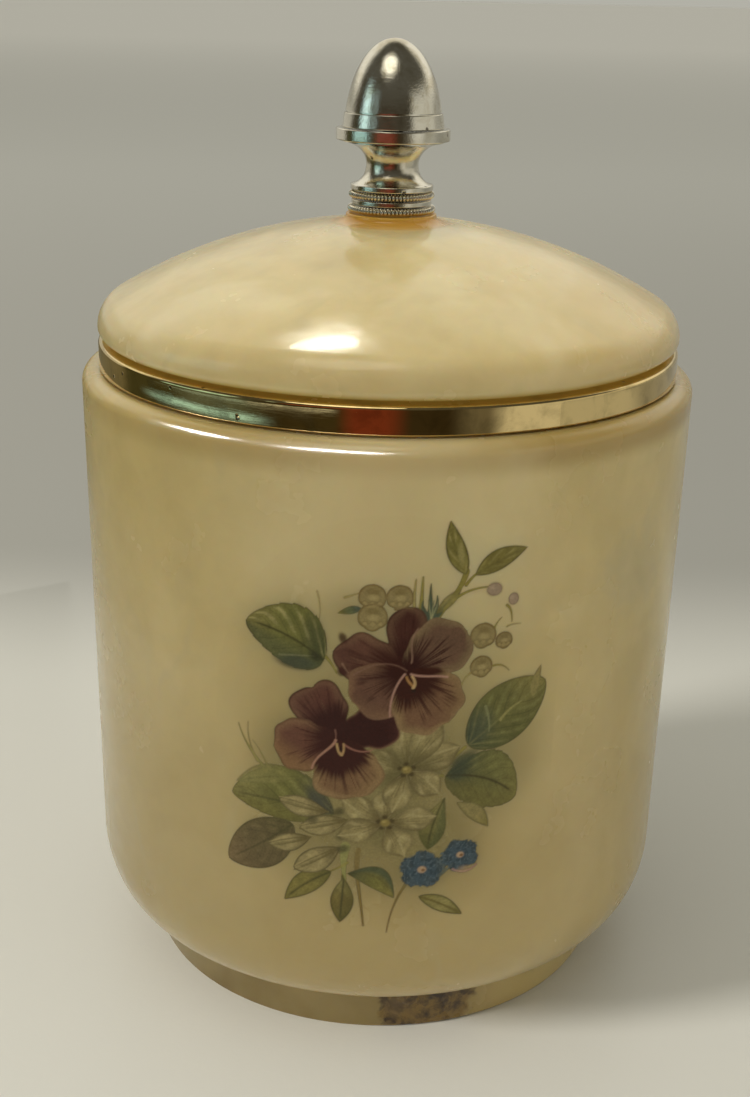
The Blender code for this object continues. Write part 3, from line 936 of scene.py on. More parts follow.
def paint_large_leaves(sheet):
    olive, deep, blue = (90, 88, 44), (60, 62, 34), (50, 56, 42)
    sheet.leaf(
        (-9.0, 77.8), (-22.2, 83.0), 4.6, 5.9, -1.2, (deep, olive, (98, 92, 50)), 0.42, round=0.6,
        veins=4.6, stripe=((132, 124, 80), 0.75, -1), left_wash=((66, 68, 42), 0.75), rib=0.55, teeth=7,
        midrib=((46, 44, 22), 0.9),
    )
    sheet.touches(
        (-10.6, 81.8, 2.0, 4.2, (58, 60, 34), 0.8, 0.7, 14),
        (-14.2, 84.8, 1.6, 3.0, (72, 74, 36), 0.9, 0.5, -30),
        (-13.6, 77.0, 4.0, 1.5, (54, 58, 44), 0.6, 0.8, -4),
        ((-16.4, 77.9, -13.4, 78.3, -10.6, 78.4), 0.3, (96, 96, 66), 0.7),
        (-10.4, 78.4, 1.4, 1.0, (40, 40, 24), 0.8, 0.8, -30),
    )
    sheet.leaf(
        (14.9, 62.7), (28.4, 72.6), 5.5, 5.2, 0.2, (blue, (82, 80, 42), (104, 96, 52)), 0.48, round=0.6,
        stripe=((108, 104, 62), 0.45, 0), rib=0.6, midrib=((108, 104, 62), 0.45),
        right_wash=((72, 72, 36), 0.5),
    )
    sheet.touches(
        (17.2, 66.2, 2.2, 3.6, (62, 66, 48), 0.9, 0.6, -10),
        ((17.6, 69.4, 18.6, 66.6, 18.4, 64.8), 0.45, (112, 112, 76), 0.55),
        ((20.4, 66.6, 21.6, 68.6, 24.0, 69.4), 0.5, (124, 116, 68), 0.6),
    )
    sheet.leaf(
        (26.2, 69.6), (27.4, 75.4), 0.8, 0.9, 0.3, ((112, 104, 60), (118, 108, 64), (126, 112, 70)), 0.4,
        veins=2, rib=0.2, midrib=((52, 50, 26), 0.2), amount=0.85,
    )
    sheet.leaf(
        (11.3, 57.4), (24.0, 51.9), 5.3, 5.2, 1.6, (blue, (84, 82, 44), (98, 92, 48)), 0.50, round=0.6,
        stripe=((104, 100, 56), 0.45, 1), rib=0.55, teeth=9, right_wash=((86, 80, 40), 0.7),
        midrib=((48, 42, 20), 0.95),
    )
    sheet.touches(
        (13.4, 58.6, 2.0, 2.8, (48, 52, 36), 0.8, 0.8, -20),
        (14.8, 60.6, 2.6, 1.2, (54, 60, 42), 0.8, 0.6, 30),
    )
    sheet.leaf(
        (-7.0, 50.2), (-25.2, 51.0), 3.4, 6.6, -0.6, ((62, 60, 44), (86, 84, 42), (102, 96, 54)), 0.46,
        round=0.65, veins=4.4, stripe=((112, 108, 62), 0.4, -1), rib=0.55, teeth=7,
        left_wash=((94, 88, 44), 0.6), midrib=((52, 50, 26), 0.6),
    )
    sheet.leaf(
        (-12.0, 56.4), (-24.4, 53.2), 1.2, 2.4, -0.6, (olive, (112, 106, 62), (118, 114, 70)), 0.5, veins=4,
        rib=0.3, midrib=((52, 50, 26), 0.2), amount=0.55,
    )
    sheet.touches((-9.8, 52.4, 1.6, 3.2, (58, 58, 48), 0.8, 0.85, 36))
    sheet.leaf(
        (-14.0, 47.2), (-26.0, 37.8), 4.6, 4.3, 0.2, ((72, 66, 38), (82, 72, 46), (102, 86, 58)), 0.48,
        round=0.65, stripe=((106, 90, 60), 0.2, 0), midrib=((52, 50, 26), 0.5), left_wash=((76, 66, 42), 0.5),
        rim=((58, 56, 30), 0.4, 0.28),
    )


def paint_small_leaves(sheet):
    olive, light, dark, line = (102, 94, 48), (116, 108, 64), (68, 64, 32), (52, 50, 26)
    edge = (58, 56, 30)
    for base, tip, left, right, bend, shades, belly, look in (
        ((-7.4, 39.0), (-15.5, 32.3), 1.9, 2.2, -0.5, ((84, 80, 40), olive, olive), 0.45,
         {"veins": 4, "rim": (edge, 0.6, 0.28)}),
        ((-5.2, 38.0), (-5.8, 29.2), 2.0, 1.9, 0.0, (light, (92, 82, 42), (82, 76, 38)), 0.52,
         {"veins": 4, "midrib": (line, 0.9), "left_wash": (dark, 0.5), "rim": (edge, 0.5, 0.28)}),
        ((-4.6, 38.9), (3.3, 34.4), 2.0, 2.2, 2.0, ((56, 58, 36), (92, 88, 44), olive), 0.5,
         {"left_wash": ((58, 64, 44), 0.9), "midrib": (line, 0.3), "rim": (edge, 0.4, 0.28)}),
        ((7.5, 34.6), (15.2, 30.3), 1.5, 1.4, 0.3, (olive, light, olive), 0.46,
         {"midrib": ((80, 70, 34), 0.9), "rim": (edge, 0.7, 0.28), "stripe": (light, 0.4, 0)}),
        ((11.4, 53.4), (8.7, 43.6), 2.3, 2.3, -0.5, (light, (94, 88, 48), (66, 66, 32)), 0.6,
         {"left_wash": ((70, 72, 40), 0.8), "midrib": (line, 0.8), "rim": (edge, 0.5, 0.28)}),
        ((13.4, 52.2), (19.2, 46.8), 1.5, 1.4, 0.6, ((124, 114, 72), (118, 108, 66), olive), 0.5,
         {"midrib": (line, 0.15), "rim": (edge, 0.7, 0.28), "amount": 0.7}),
        ((13.2, 92.8), (10.4, 101.8), 1.5, 1.7, 0.5, (olive, (92, 86, 42), olive), 0.42,
         {"midrib": (line, 0.2), "rim": (edge, 0.7, 0.28), "stripe": (light, 0.9, 0)}),
        ((14.8, 92.6), (23.4, 96.4), 2.0, 1.5, 0.3, (olive, (92, 84, 40), olive), 0.45,
         {"midrib": (line, 0.25), "rim": (edge, 0.5, 0.28), "stripe": (light, 0.5, 0)}),
        ((8.6, 86.3), (12.6, 90.4), 0.9, 0.9, 0.0, (olive, light, olive), 0.5,
         {"veins": 2, "midrib": (line, 0.3), "amount": 0.7}),
        ((-3.2, 87.2), (-6.8, 86.2), 0.6, 0.7, 0.0, ((58, 70, 66), (78, 84, 56), olive), 0.4,
         {"veins": 2, "midrib": (line, 0.4)}),
    ):
        sheet.leaf(base, tip, left, right, bend, shades, belly, **{"veins": 3, **look})
    sheet.blot(12.3, 96.2, 0.7, 2.4, light, 0.6, 0.8, 8)


def paint_sprigs(sheet):
    """Thin stems, grass blades and buds round the edge of the spray."""
    olive, brown, soft, blade = (108, 100, 48), (98, 84, 46), (122, 112, 68), (58, 66, 52)
    sheet.touches(
        ((13.3, 93.3, 12.8, 90.5, 10.6, 88.5, 9.0, 85.3), 0.95, olive, 0.9),
        ((13.3, 91.0, 14.4, 92.6, 15.6, 93.2), 0.5, olive, 0.9),
        ((11.2, 88.4, 13.6, 90.6, 17.6, 90.4), 0.5, olive, 0.85),
        ((20.4, 86.9, 21.4, 86.2, 21.4, 84.0), 0.45, olive, 0.8),
        ((5.2, 86.3, 5.0, 89.0, 5.3, 92.2), 0.55, soft, 0.9),
        ((6.2, 86.3, 6.3, 89.6, 6.4, 92.6), 0.75, olive, 0.8),
        ((-5.8, 88.9, -4.4, 89.4, -3.4, 89.8), 0.35, soft, 0.6),
        ((-10.2, 89.6, -9.4, 87.2, -9.8, 84.9), 0.3, soft, 0.5),
        ((-8.8, 78.6, -7.6, 77.4, -6.9, 75.8), 0.5, olive, 0.8),
        ((14.4, 62.4, 13.0, 61.2, 12.2, 60.0), 0.5, olive, 0.8),
        ((10.8, 57.4, 9.0, 57.9, 7.6, 57.2), 0.35, olive, 0.8),
        ((18.6, 76.6, 20.2, 76.9, 21.4, 75.4), 0.35, olive, 0.7),
        ((14.6, 75.6, 13.4, 74.8, 13.0, 72.6), 0.4, soft, 0.5),
        ((18.4, 83.2, 18.9, 84.4, 19.6, 84.9), 0.3, olive, 0.7),
        ((20.6, 83.2, 21.4, 83.6, 23.0, 83.4), 0.3, soft, 0.6),
        ((-19.0, 57.0, -22.6, 60.2, -23.8, 64.2), 0.5, (112, 108, 62), 0.7),
        ((-20.4, 57.9, -22.4, 61.6, -22.0, 64.8), 0.4, soft, 0.55),
        ((-18.4, 57.2, -19.8, 60.2, -21.2, 61.6), 0.4, soft, 0.5),
        ((-2.8, 43.6, -3.6, 40.0, -2.4, 35.4, -1.8, 28.8), 0.85, brown, 0.85),
        ((5.2, 37.0, 3.4, 34.0, 2.6, 31.0, 2.2, 27.6), 0.45, brown, 0.7),
        ((-5.0, 44.2, -5.6, 41.2, -5.0, 37.6), 1.5, (118, 118, 68), 0.7),
        ((-4.6, 41.0, -6.4, 39.6, -8.0, 38.8), 0.4, olive, 0.7),
        ((-5.4, 38.4, -5.5, 35.0, -5.7, 31.0), 0.4, (70, 66, 30), 0.8),
    )
    for x, z, wide, high in ((18.1, 89.9, 1.45, 1.25), (21.5, 87.9, 1.0, 1.15)):
        sheet.blot(x, z, wide, high, (122, 106, 88), 0.35, 0.9)
        sheet.blot(x - 0.3, z + 0.3, 0.6, 0.5, (134, 118, 98), 0.7, 0.6)
    for lean, tall in ((-2.0, 3.2), (-0.3, 6.0), (1.2, 4.0), (2.4, 2.6)):
        route = (7.9, 85.4, 7.9 + lean * 0.9, 85.4 + tall * 0.5, 7.9 + lean * 0.7, 85.4 + tall)
        sheet.stroke(route, 1.15, blade, 0.9, 1.0, 0.1)
    for lean in (-0.9, 0.3, 1.3):
        route = (7.9, 85.6, 8.0 + lean * 0.5, 87.2, 8.0 + lean * 0.7, 88.6)
        sheet.stroke(route, 0.22, (120, 118, 84), 0.7)


def paint_bells(sheet):
    """Small bell flowers: a thin brownish outline with a scalloped mouth, a cream face and an olive cap."""
    line, cream, crown = (80, 64, 34), (117, 104, 67), (90, 77, 43)
    for x, z, radius, turn in (
        (-1.4, 89.2, 2.15, -8.0),
        (2.9, 89.2, 2.1, 6.0),
        (-1.3, 85.8, 2.3, -4.0),
        (16.6, 82.1, 2.15, -14.0),
        (20.2, 80.9, 1.45, 8.0),
        (16.5, 76.7, 1.85, 10.0),
    ):
        dx, dz = sheet.x - x, sheet.z - z
        angle = np.degrees(np.arctan2(dx, -dz)) - turn
        mouth = ease(np.cos(np.radians(angle)), -0.1, 0.5)
        reach = radius * (1.0 + 0.10 * mouth * np.abs(np.cos(np.radians(angle * 2.6))) - 0.05 * mouth)
        reach = reach * (1.0 + 0.06 * (mottle(angle * 0.03, radius + 0.0 * angle, 6) - 0.5))
        depth = sheet.inside(reach - np.hypot(dx, dz))
        sheet.lay(np.clip(depth / 0.3 + 0.5, 0, 1) * 0.7, cream)
        sheet.blot(x, z + radius * 0.42, radius * 0.62, radius * 0.34, crown, 0.6, 0.6, turn)
        sheet.blot(x + 0.1, z - radius * 0.06, radius * 0.46, radius * 0.3, (128, 115, 76), 0.6, 0.8)
        for aside in (-0.55, 0.0, 0.55):
            low, high = x + aside * radius, z - radius * 0.52
            sheet.blot(low, high, 0.42, 0.4, (127, 113, 74), 0.6, 0.6)
            route = (low - 0.5, high + 0.1, low, high + 0.75, low + 0.5, high + 0.1)
            sheet.stroke(route, 0.20, line, 0.4, 0.6, 0.6)
        grain = 0.4 + 0.6 * sheet.noise(1.6, 4)
        sheet.lay(np.exp(-(((depth - 0.12) / 0.15) ** 2)) * grain * 0.9, line)


def paint_buds(sheet):
    fill, shade, edge = (119, 108, 72), (82, 73, 42), (54, 46, 25)
    for x, z, tip_x, tip_z, width in (
        (-8.0, 50.4, -16.4, 51.6, 1.9),
        (-4.8, 49.2, -12.8, 46.8, 1.9),
        (-11.0, 45.2, -18.2, 42.6, 1.7),
        (-6.0, 43.8, -13.8, 38.7, 2.2),
    ):
        sheet.leaf(
            (x, z), (tip_x, tip_z), width, width, 0.2, ((78, 68, 38), fill, fill), 0.55, veins=2, round=0.7,
            midrib=(shade, 0.5), rib=0.3, rim=(edge, 0.7, 0.28), stripe=((134, 121, 83), 0.5, 0),
        )
        middle_x, middle_z = (x + tip_x) / 2, (z + tip_z) / 2
        for lift in (0.7, -0.7):
            sheet.stroke((x, z, middle_x, middle_z + lift, tip_x, tip_z + lift * 0.4), 0.24, shade, 0.8)
        sheet.stroke((middle_x, middle_z + 1.12, tip_x, tip_z + 0.42), 0.35, (130, 117, 78), 0.7)
    for x, z in ((-6.2, 50.6), (-5.6, 46.0), (-10.6, 48.6), (-5.4, 43.6)):
        sheet.blot(x, z, 1.4, 0.9, (58, 54, 32), 0.7, 0.75, 25)


def paint_blossoms(sheet):
    """Pale star-shaped blossoms with shaded, pointed petals."""
    fill, rim, shade, glow = (119, 108, 71), (54, 45, 24), (80, 70, 40), (136, 125, 87)
    upper, lower = (4.8, 58.8), (1.5, 48.9)
    for centre, petals in (
        (upper, ((24.0, 9.4, 2.3), (95.0, 8.2, 2.3), (158.0, 7.0, 2.1), (60.0, 10.5, 2.4))),
        (lower, ((150.0, 8.4, 2.2), (88.0, 6.4, 2.1), (200.0, 8.3, 2.1), (7.0, 8.5, 2.1), (-62.0, 7.2, 2.4))),
        (upper, ((-40.0, 7.2, 2.2), (-106.0, 8.2, 2.2))),
    ):
        sheet.blot(*centre, 6.5, 5.5, (76, 70, 40), 0.9, 0.6)
        for angle, length, width in petals:
            def reached(share, lean=0.0):
                c, s = heading(angle + lean)
                return centre[0] + share * length * c, centre[1] + share * length * s

            sheet.leaf(
                centre, reached(1.0), width * 1.12, width * 1.12, 0.3 * math.sin(length * 3.0),
                (shade, fill, fill), 0.6, veins=2, midrib=(shade, 0.3), rib=0.15, rim=(rim, 0.45, 0.4),
                stripe=(glow, 0.7, 0), right_wash=(shade, 0.45), amount=0.95,
            )
            for lean in (-10.0, -4.0, 8.0):
                sheet.stroke((*centre, *reached(0.66, lean)), 0.24, shade, 0.6)
            sheet.stroke((*reached(0.55, 9.0), *reached(1.0)), 0.5, glow, 0.6, 1.0, 0.3)
    for x, z in (upper, lower):
        for k in range(5):
            a = math.tau * k / 5 + 0.4
            sheet.blot(x + 1.15 * math.cos(a), z + 1.1 * math.sin(a), 0.6, 0.5, (52, 42, 20), 0.7, 0.8)
        sheet.blot(x, z, 0.95, 0.8, (112, 98, 52), 0.5, 0.9)
        sheet.blot(x - 0.2, z + 0.2, 0.4, 0.3, (136, 122, 72), 0.6, 0.7)


def paint_blue_flowers(sheet):
    """Forget-me-nots in dabbed blue, with a pinkish eye."""
    blue, deep, haze = (50, 63, 70), (41, 52, 58), (92, 94, 74)
    for x, z, size, turn in ((7.9, 39.8, 1.0, 12.0), (14.4, 42.1, 0.86, 40.0)):
        sheet.blot(x, z - 0.6, 4.6 * size, 3.6 * size, haze, 0.8, 0.35)
        for k in range(5):
            c, s = heading(turn + 72.0 * k)
            dx, dz = sheet.x - x - 1.85 * size * c, sheet.z - z - 1.7 * size * s
            ragged = sheet.noise(2.6, 11) * 0.9 + sheet.noise(6.0, 5) * 0.5
            depth = 2.05 * size - np.hypot(dx, dz * 1.05) - (ragged - 0.7) * 0.5
            colour = lerp(sheet.flat(blue), deep, ease(sheet.noise(1.8, 21), 0.35, 0.75))
            dabs = ease(mottle(sheet.x * 4.0, sheet.z * 3.0, 31), 0.62, 0.8) * 0.6
            sheet.lay(np.clip(depth / 0.35 + 0.5, 0.0, 1.0) * 0.94, lerp(colour, (68, 80, 86), dabs))
        sheet.touches(
            (x, z, 1.15 * size, 0.95 * size, (66, 68, 74), 0.6, 0.7),
            (x, z, 0.85 * size, 0.75 * size, (140, 118, 92), 0.4, 0.95),
            (x + 0.22, z - 0.1, 0.42, 0.34, (92, 64, 40), 0.5, 0.9),
        )
    sheet.touches(
        ((10.8, 38.4, 12.2, 39.4, 13.2, 40.6), 0.7, (62, 72, 72), 0.6),
        ((13.2, 39.4, 15.4, 37.9, 17.4, 39.8), 0.35, (134, 104, 92), 0.7, 1.0, 0.8),
        (15.2, 39.2, 1.5, 0.9, (142, 120, 96), 0.7, 0.4),
    )


def paint_lower_pansy(sheet):
    throat = (-6.9, 64.0)
    sheet.petal(
        throat, (3.2, 67.3), 4.6, 3.5, ((39, 12, 7), (42, 15, 10), (46, 20, 15)), 0.85, seed=3,
        border=((112, 82, 62), 0.6), flare=0.7, square=4.0,
    )
    sheet.petal(
        throat, (-10.6, 73.9), 5.5, 4.0, ((40, 13, 8), (70, 41, 32), (88, 62, 46)), 0.66, seed=8, lobes=5,
        wave=0.035, notch=0.09, lines=0.5, blur=0.26, border=((44, 22, 16), 0.85),
        tint=(135.0, 6.0, 9.5, (84, 58, 44), 0.5),
    )
    sheet.petal(
        throat, (-17.3, 61.4), 5.1, 4.7, ((44, 16, 10), (80, 51, 38), (98, 72, 51)), 0.54, seed=12, lobes=9,
        wave=0.025, lines=0.6, blur=0.34, border=((44, 22, 16), 0.5),
        tint=(240.0, 4.0, 8.5, (104, 78, 50), 0.85),
    )
    sheet.petal(
        throat, (-2.8, 53.6), 5.6, 6.4, ((43, 15, 8), (96, 72, 48), (112, 91, 61)), 0.63, seed=17, lobes=8,
        feather=0.10, lines=0.6, blur=0.14, border=((62, 40, 24), 0.45),
        tint=(-35.0, 6.5, 9.5, (108, 87, 56), 0.6),
    )
    sheet.touches(
        ((-6.9, 63.8, -7.2, 62.4, -9.6, 61.2, -10.6, 59.6, -10.8, 58.2), 0.46, (132, 98, 80), 0.9, 0.9, 0.5),
        ((-5.5, 63.1, -3.8, 61.9, -2.0, 61.7, -0.8, 62.5), 0.30, (118, 80, 66), 0.8, 1.0, 0.5),
        ((-7.0, 65.6, -6.8, 64.8, -6.9, 64.0), 0.26, (104, 72, 60), 0.7),
        ((-6.7, 63.1, -6.5, 61.5, -5.9, 61.2), 0.42, (140, 114, 76), 0.95, 0.8, 1.0),
        ((-5.6, 63.2, -5.4, 61.8, -5.9, 61.2), 0.36, (134, 106, 70), 0.9, 0.8, 1.0),
        (-6.05, 62.3, 0.35, 0.6, (34, 14, 6), 0.5, 0.95),
    )


def paint_upper_pansy(sheet):
    throat = (4.3, 76.2)
    sheet.petal(
        throat, (4.0, 87.5), 3.1, 3.4, ((40, 12, 7), (54, 28, 20), (76, 54, 39)), 0.62, seed=21, lobes=5,
        lines=0.6, blur=0.34, border=((44, 22, 16), 0.8),
    )
    sheet.petal(
        throat, (-7.2, 79.4), 3.9, 4.7, ((41, 13, 7), (72, 46, 35), (88, 64, 47)), 0.62, seed=25, lobes=6,
        wave=0.04, lines=0.5, blur=0.40, border=((44, 22, 16), 0.85),
        tint=(165.0, 8.6, 11.0, (66, 40, 32), 0.5),
    )
    sheet.touches(
        (-5.9, 76.2, 1.1, 1.0, (44, 17, 11), 0.6, 0.85, 40),
        (-1.5, 76.6, 4.4, 0.9, (43, 15, 9), 0.8, 0.8, -4),
        (-6.0, 82.0, 0.8, 1.1, (44, 18, 14), 0.7, 0.7, 20),
    )
    sheet.petal(
        throat, (13.6, 83.0), 5.4, 4.9, ((39, 13, 8), (79, 58, 43), (96, 79, 55)), 0.46, seed=29, lobes=8,
        wave=0.025, feather=0.16, lines=0.95, blur=0.30, border=((104, 82, 62), 0.45), square=3.4,
    )
    sheet.petal(
        throat, (-4.2, 70.9), 5.3, 5.0, ((40, 13, 6), (76, 52, 39), (91, 67, 48)), 0.54, seed=33, lines=0.6,
        blur=0.34, border=((98, 74, 56), 0.4), tint=(245.0, 6.0, 8.5, (90, 66, 47), 0.5),
    )
    sheet.petal(
        throat, (11.4, 67.2), 5.7, 6.7, ((42, 14, 5), (90, 65, 45), (106, 86, 57)), 0.56, seed=37, lobes=9,
        lines=0.7, blur=0.20, border=((112, 90, 64), 0.45), flare=0.45, square=2.6,
        tint=(-8.0, 5.5, 8.5, (98, 76, 50), 0.5),
    )
    pink = (134, 102, 88)
    sheet.touches(
        ((4.0, 76.0, 3.0, 74.8, 1.6, 72.2, 1.8, 68.5), 0.42, pink, 0.9, 0.8, 0.5),
        ((5.0, 76.0, 7.0, 75.3, 9.0, 75.8, 10.9, 75.3), 0.52, pink, 0.9, 0.6, 0.6),
        ((5.0, 78.0, 5.4, 79.6, 4.2, 81.6, 5.9, 83.9), 0.26, (110, 84, 68), 0.8, 0.8, 0.6),
        ((4.3, 76.6, 1.8, 78.6, -1.4, 78.0, -4.2, 75.6), 0.28, (98, 72, 58), 0.6, 0.6, 0.8),
        ((-6.0, 77.5, -5.4, 76.4, -5.0, 76.0), 0.3, (110, 84, 66), 0.7),
        ((4.3, 75.5, 4.5, 74.7, 5.3, 74.0), 0.40, (134, 98, 56), 0.9, 0.8, 1.0),
        ((5.2, 75.6, 6.0, 74.4, 5.4, 73.6), 0.44, (148, 122, 84), 0.95, 0.8, 1.0),
        (5.5, 73.1, 0.45, 0.35, (30, 14, 6), 0.5, 0.95),
        ((2.2, 87.2, 3.4, 87.7, 4.9, 87.3), 0.4, (96, 80, 52), 0.6),
    )


def flower_print(finish):
    sheet = Print()
    for paint in (
        paint_halo, paint_sprigs, paint_large_leaves, paint_small_leaves, paint_bells, paint_buds,
        paint_blossoms, paint_blue_flowers, paint_lower_pansy, paint_upper_pansy,
    ):
        paint(sheet)
    return sheet.sheet("flower_print", finish)


# ---------------------------------------------------------------- the object

def build_jar():
    foot = turned("foot", foot_outline(), SIDES)
    piece("foot", foot, foot_stone(), "jar", "foot_disc")
    body = turned("body", body_outline(), SIDES)
    piece("body", body, body_stone(), "jar", "jar_body")
    gold = plated(
        "gold_plate", rgb(0.80, 0.62, 0.30), rgb(0.50, 0.39, 0.18),
        rough_low=0.02, rough_high=0.05, spin=18.0, pits=0.05, marked=0.0000008, worn=0.0000003,
    )
    band = turned("band", band_outline(), SIDES, closed=True)
    piece("band", band, gold, "jar", "rim_band")
    flower_print(ink_print())


def build_lid():
    stone = turned("lid_stone", lid_outline(), SIDES, closed=True)
    piece("lid_stone", stone, lid_stone(), "lid", "lid")
    silver = plated(
        "silver_plate", rgb(0.80, 0.77, 0.68), rgb(0.56, 0.50, 0.36),
        rough_low=0.05, rough_high=0.12, spin=10.0, pits=0.10, worn=0.000030,
    )
    brass = plated(
        "brass", rgb(0.66, 0.47, 0.20), rgb(0.36, 0.24, 0.10),
        rough_low=0.22, rough_high=0.38, spin=6.0, pits=0.08,
    )
    steel = plated(
        "zinc_steel", rgb(0.55, 0.55, 0.53), rgb(0.34, 0.32, 0.28),
        rough_low=0.28, rough_high=0.44, spin=6.0, pits=0.08,
    )
    for name, node in (("lower_beads", "lower_bead_ring"), ("upper_beads", "upper_bead_ring")):
        piece(name, beaded(name, *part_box(node)), silver, "lid", node)
    for name, node, outline in (
        ("spacer", "bead_spacer", ring_outline(*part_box("bead_spacer"), SPACER_EDGE)),
        ("neck", "finial_neck", neck_outline()),
        ("collar", "finial_collar", ring_outline(*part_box("finial_collar"), COLLAR_EDGE)),
    ):
        piece(name, turned(name, outline, SLIM_SIDES, closed=True), silver, "lid", node)
    acorn = turned("acorn", acorn_outline(), SLIM_SIDES)
    piece("acorn", acorn, silver, "lid", "finial_acorn")
    piece("stud", threaded_stud("stud"), steel, "lid", "finial_stud")
    for name, node, finish, slot in (
        ("fibre_disc", "fibre_washer", fibre_board(), "fibre"),
        ("brass_disc", "brass_washer", brass, "brass"),
    ):
        outline = ring_outline(*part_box(node), WASHER_EDGE)
        piece(name, turned(name, outline, SLIM_SIDES, closed=True), finish, "lid", node)
    piece("nut", hexagonal_nut("nut"), brass, "lid", "lid_nut")


# ---------------------------------------------------------------- stage

def build_floor():
    mesh = bpy.data.meshes.new("floor")
    reach = 300.0
    corners = [(-reach, -reach, 0), (reach, -reach, 0), (reach, reach, 0), (-reach, reach, 0)]
    mesh.from_pydata(corners, [], [(0, 1, 2, 3)])
    mesh.materials.append(floor_paint())
    floor = bpy.data.objects.new("floor", mesh)
    bpy.context.scene.collection.objects.link(floor)


def build_screen():
    """A low curved screen in front that only the metal shows: a dim room, a window strip, a red thing."""
    radius, top = 0.20, 0.17
    bearings = np.radians(np.arange(-150.0, 60.1, 2.0))
    points, faces = [], []
    for bearing in bearings:
        x, y = radius * math.sin(bearing), -radius * math.cos(bearing)
        points += [(x, y, 0.0005), (x, y, top)]
    for k in range(len(bearings) - 1):
        faces.append((2 * k, 2 * k + 2, 2 * k + 3, 2 * k + 1))
    mesh = bpy.data.meshes.new("screen")
    mesh.from_pydata(points, [], faces)
    made, nodes = material("screen_light")
    x, y, z = nodes.parts(nodes.place())
    bearing = nodes.math("ARCTAN2", x, nodes.times(y, -1.0))
    seen = rgb(0.16, 0.14, 0.08)
    for start, blend, colour in (
        (-108.0, 12.0, (0.055, 0.052, 0.022)),
        (-74.0, 12.0, (0.095, 0.110, 0.085)),
        (-44.0, 14.0, (0.044, 0.034, 0.014)),
        (-13.0, 8.0, (0.16, 0.034, 0.016)),
        (4.0, 10.0, (0.036, 0.026, 0.012)),
        (24.0, 10.0, (0.14, 0.125, 0.09)),
        (37.0, 9.0, (0.60, 0.58, 0.50)),
    ):
        low, high = math.radians(start - blend / 2), math.radians(start + blend / 2)
        seen = nodes.mixed(nodes.span(bearing, low, high), seen, rgb(*colour))
    for sector, level, colour in (
        ((-98.0, -78.0, -50.0, -34.0), (0.0728, 0.0735, 0.0743, 0.0750), (0.46, 0.82, 1.00)),
        ((-96.0, -70.0, -44.0, -36.0), (0.0776, 0.0781, 0.0787, 0.0793), (0.30, 0.42, 0.44)),
        ((-170.0, -160.0, -112.0, -104.0), (0.110, 0.125, 0.20, 0.21), (0.50, 0.48, 0.41)),
        ((-50.0, -44.0, -20.0, -14.0), (0.0778, 0.0784, 0.0792, 0.0800), (0.50, 0.52, 0.50)),
        ((-84.0, -80.0, -56.0, -50.0), (0.120, 0.124, 0.20, 0.21), (0.45, 0.74, 0.74)),
        ((-36.0, -30.0, -6.0, 0.0), (0.120, 0.124, 0.20, 0.21), (0.22, 0.06, 0.04)),
    ):
        a, b, c, d = (math.radians(v) for v in sector)
        within = nodes.times(nodes.span(bearing, a, b), nodes.span(bearing, c, d, 1.0, 0.0))
        e, f, g, h = level
        within = nodes.times(within, nodes.span(z, e, f))
        within = nodes.times(within, nodes.span(z, g, h, 1.0, 0.0))
        seen = nodes.mixed(within, seen, rgb(*colour))
    seen = nodes.mixed(nodes.span(z, 0.0, 0.062), rgb(0.40, 0.38, 0.31), seen)
    glow = nodes.add("Emission", {"Color": seen, "Strength": 1.0})
    nodes.add("OutputMaterial", {"Surface": glow.outputs[0]})
    mesh.materials.append(made)
    screen = bpy.data.objects.new("screen", mesh)
    bpy.context.scene.collection.objects.link(screen)
    for way in ("camera", "diffuse", "shadow", "transmission", "volume_scatter"):
        setattr(screen, "visible_" + way, False)


def area_light(name, place, aim, size, watts, colour, **seen):
    data = bpy.data.lights.new(name, "AREA")
    data.shape = "ELLIPSE"
    data.size, data.size_y = size
    data.energy = watts
    data.color = colour
    lamp = bpy.data.objects.new(name, data)
    bpy.context.scene.collection.objects.link(lamp)
    lamp.location = place
    lamp.rotation_mode = "QUATERNION"
    lamp.rotation_quaternion = (Vector(aim) - Vector(place)).to_track_quat("-Z", "Y")
    for way, shown in seen.items():
        setattr(lamp, "visible_" + way, shown)
    return lamp


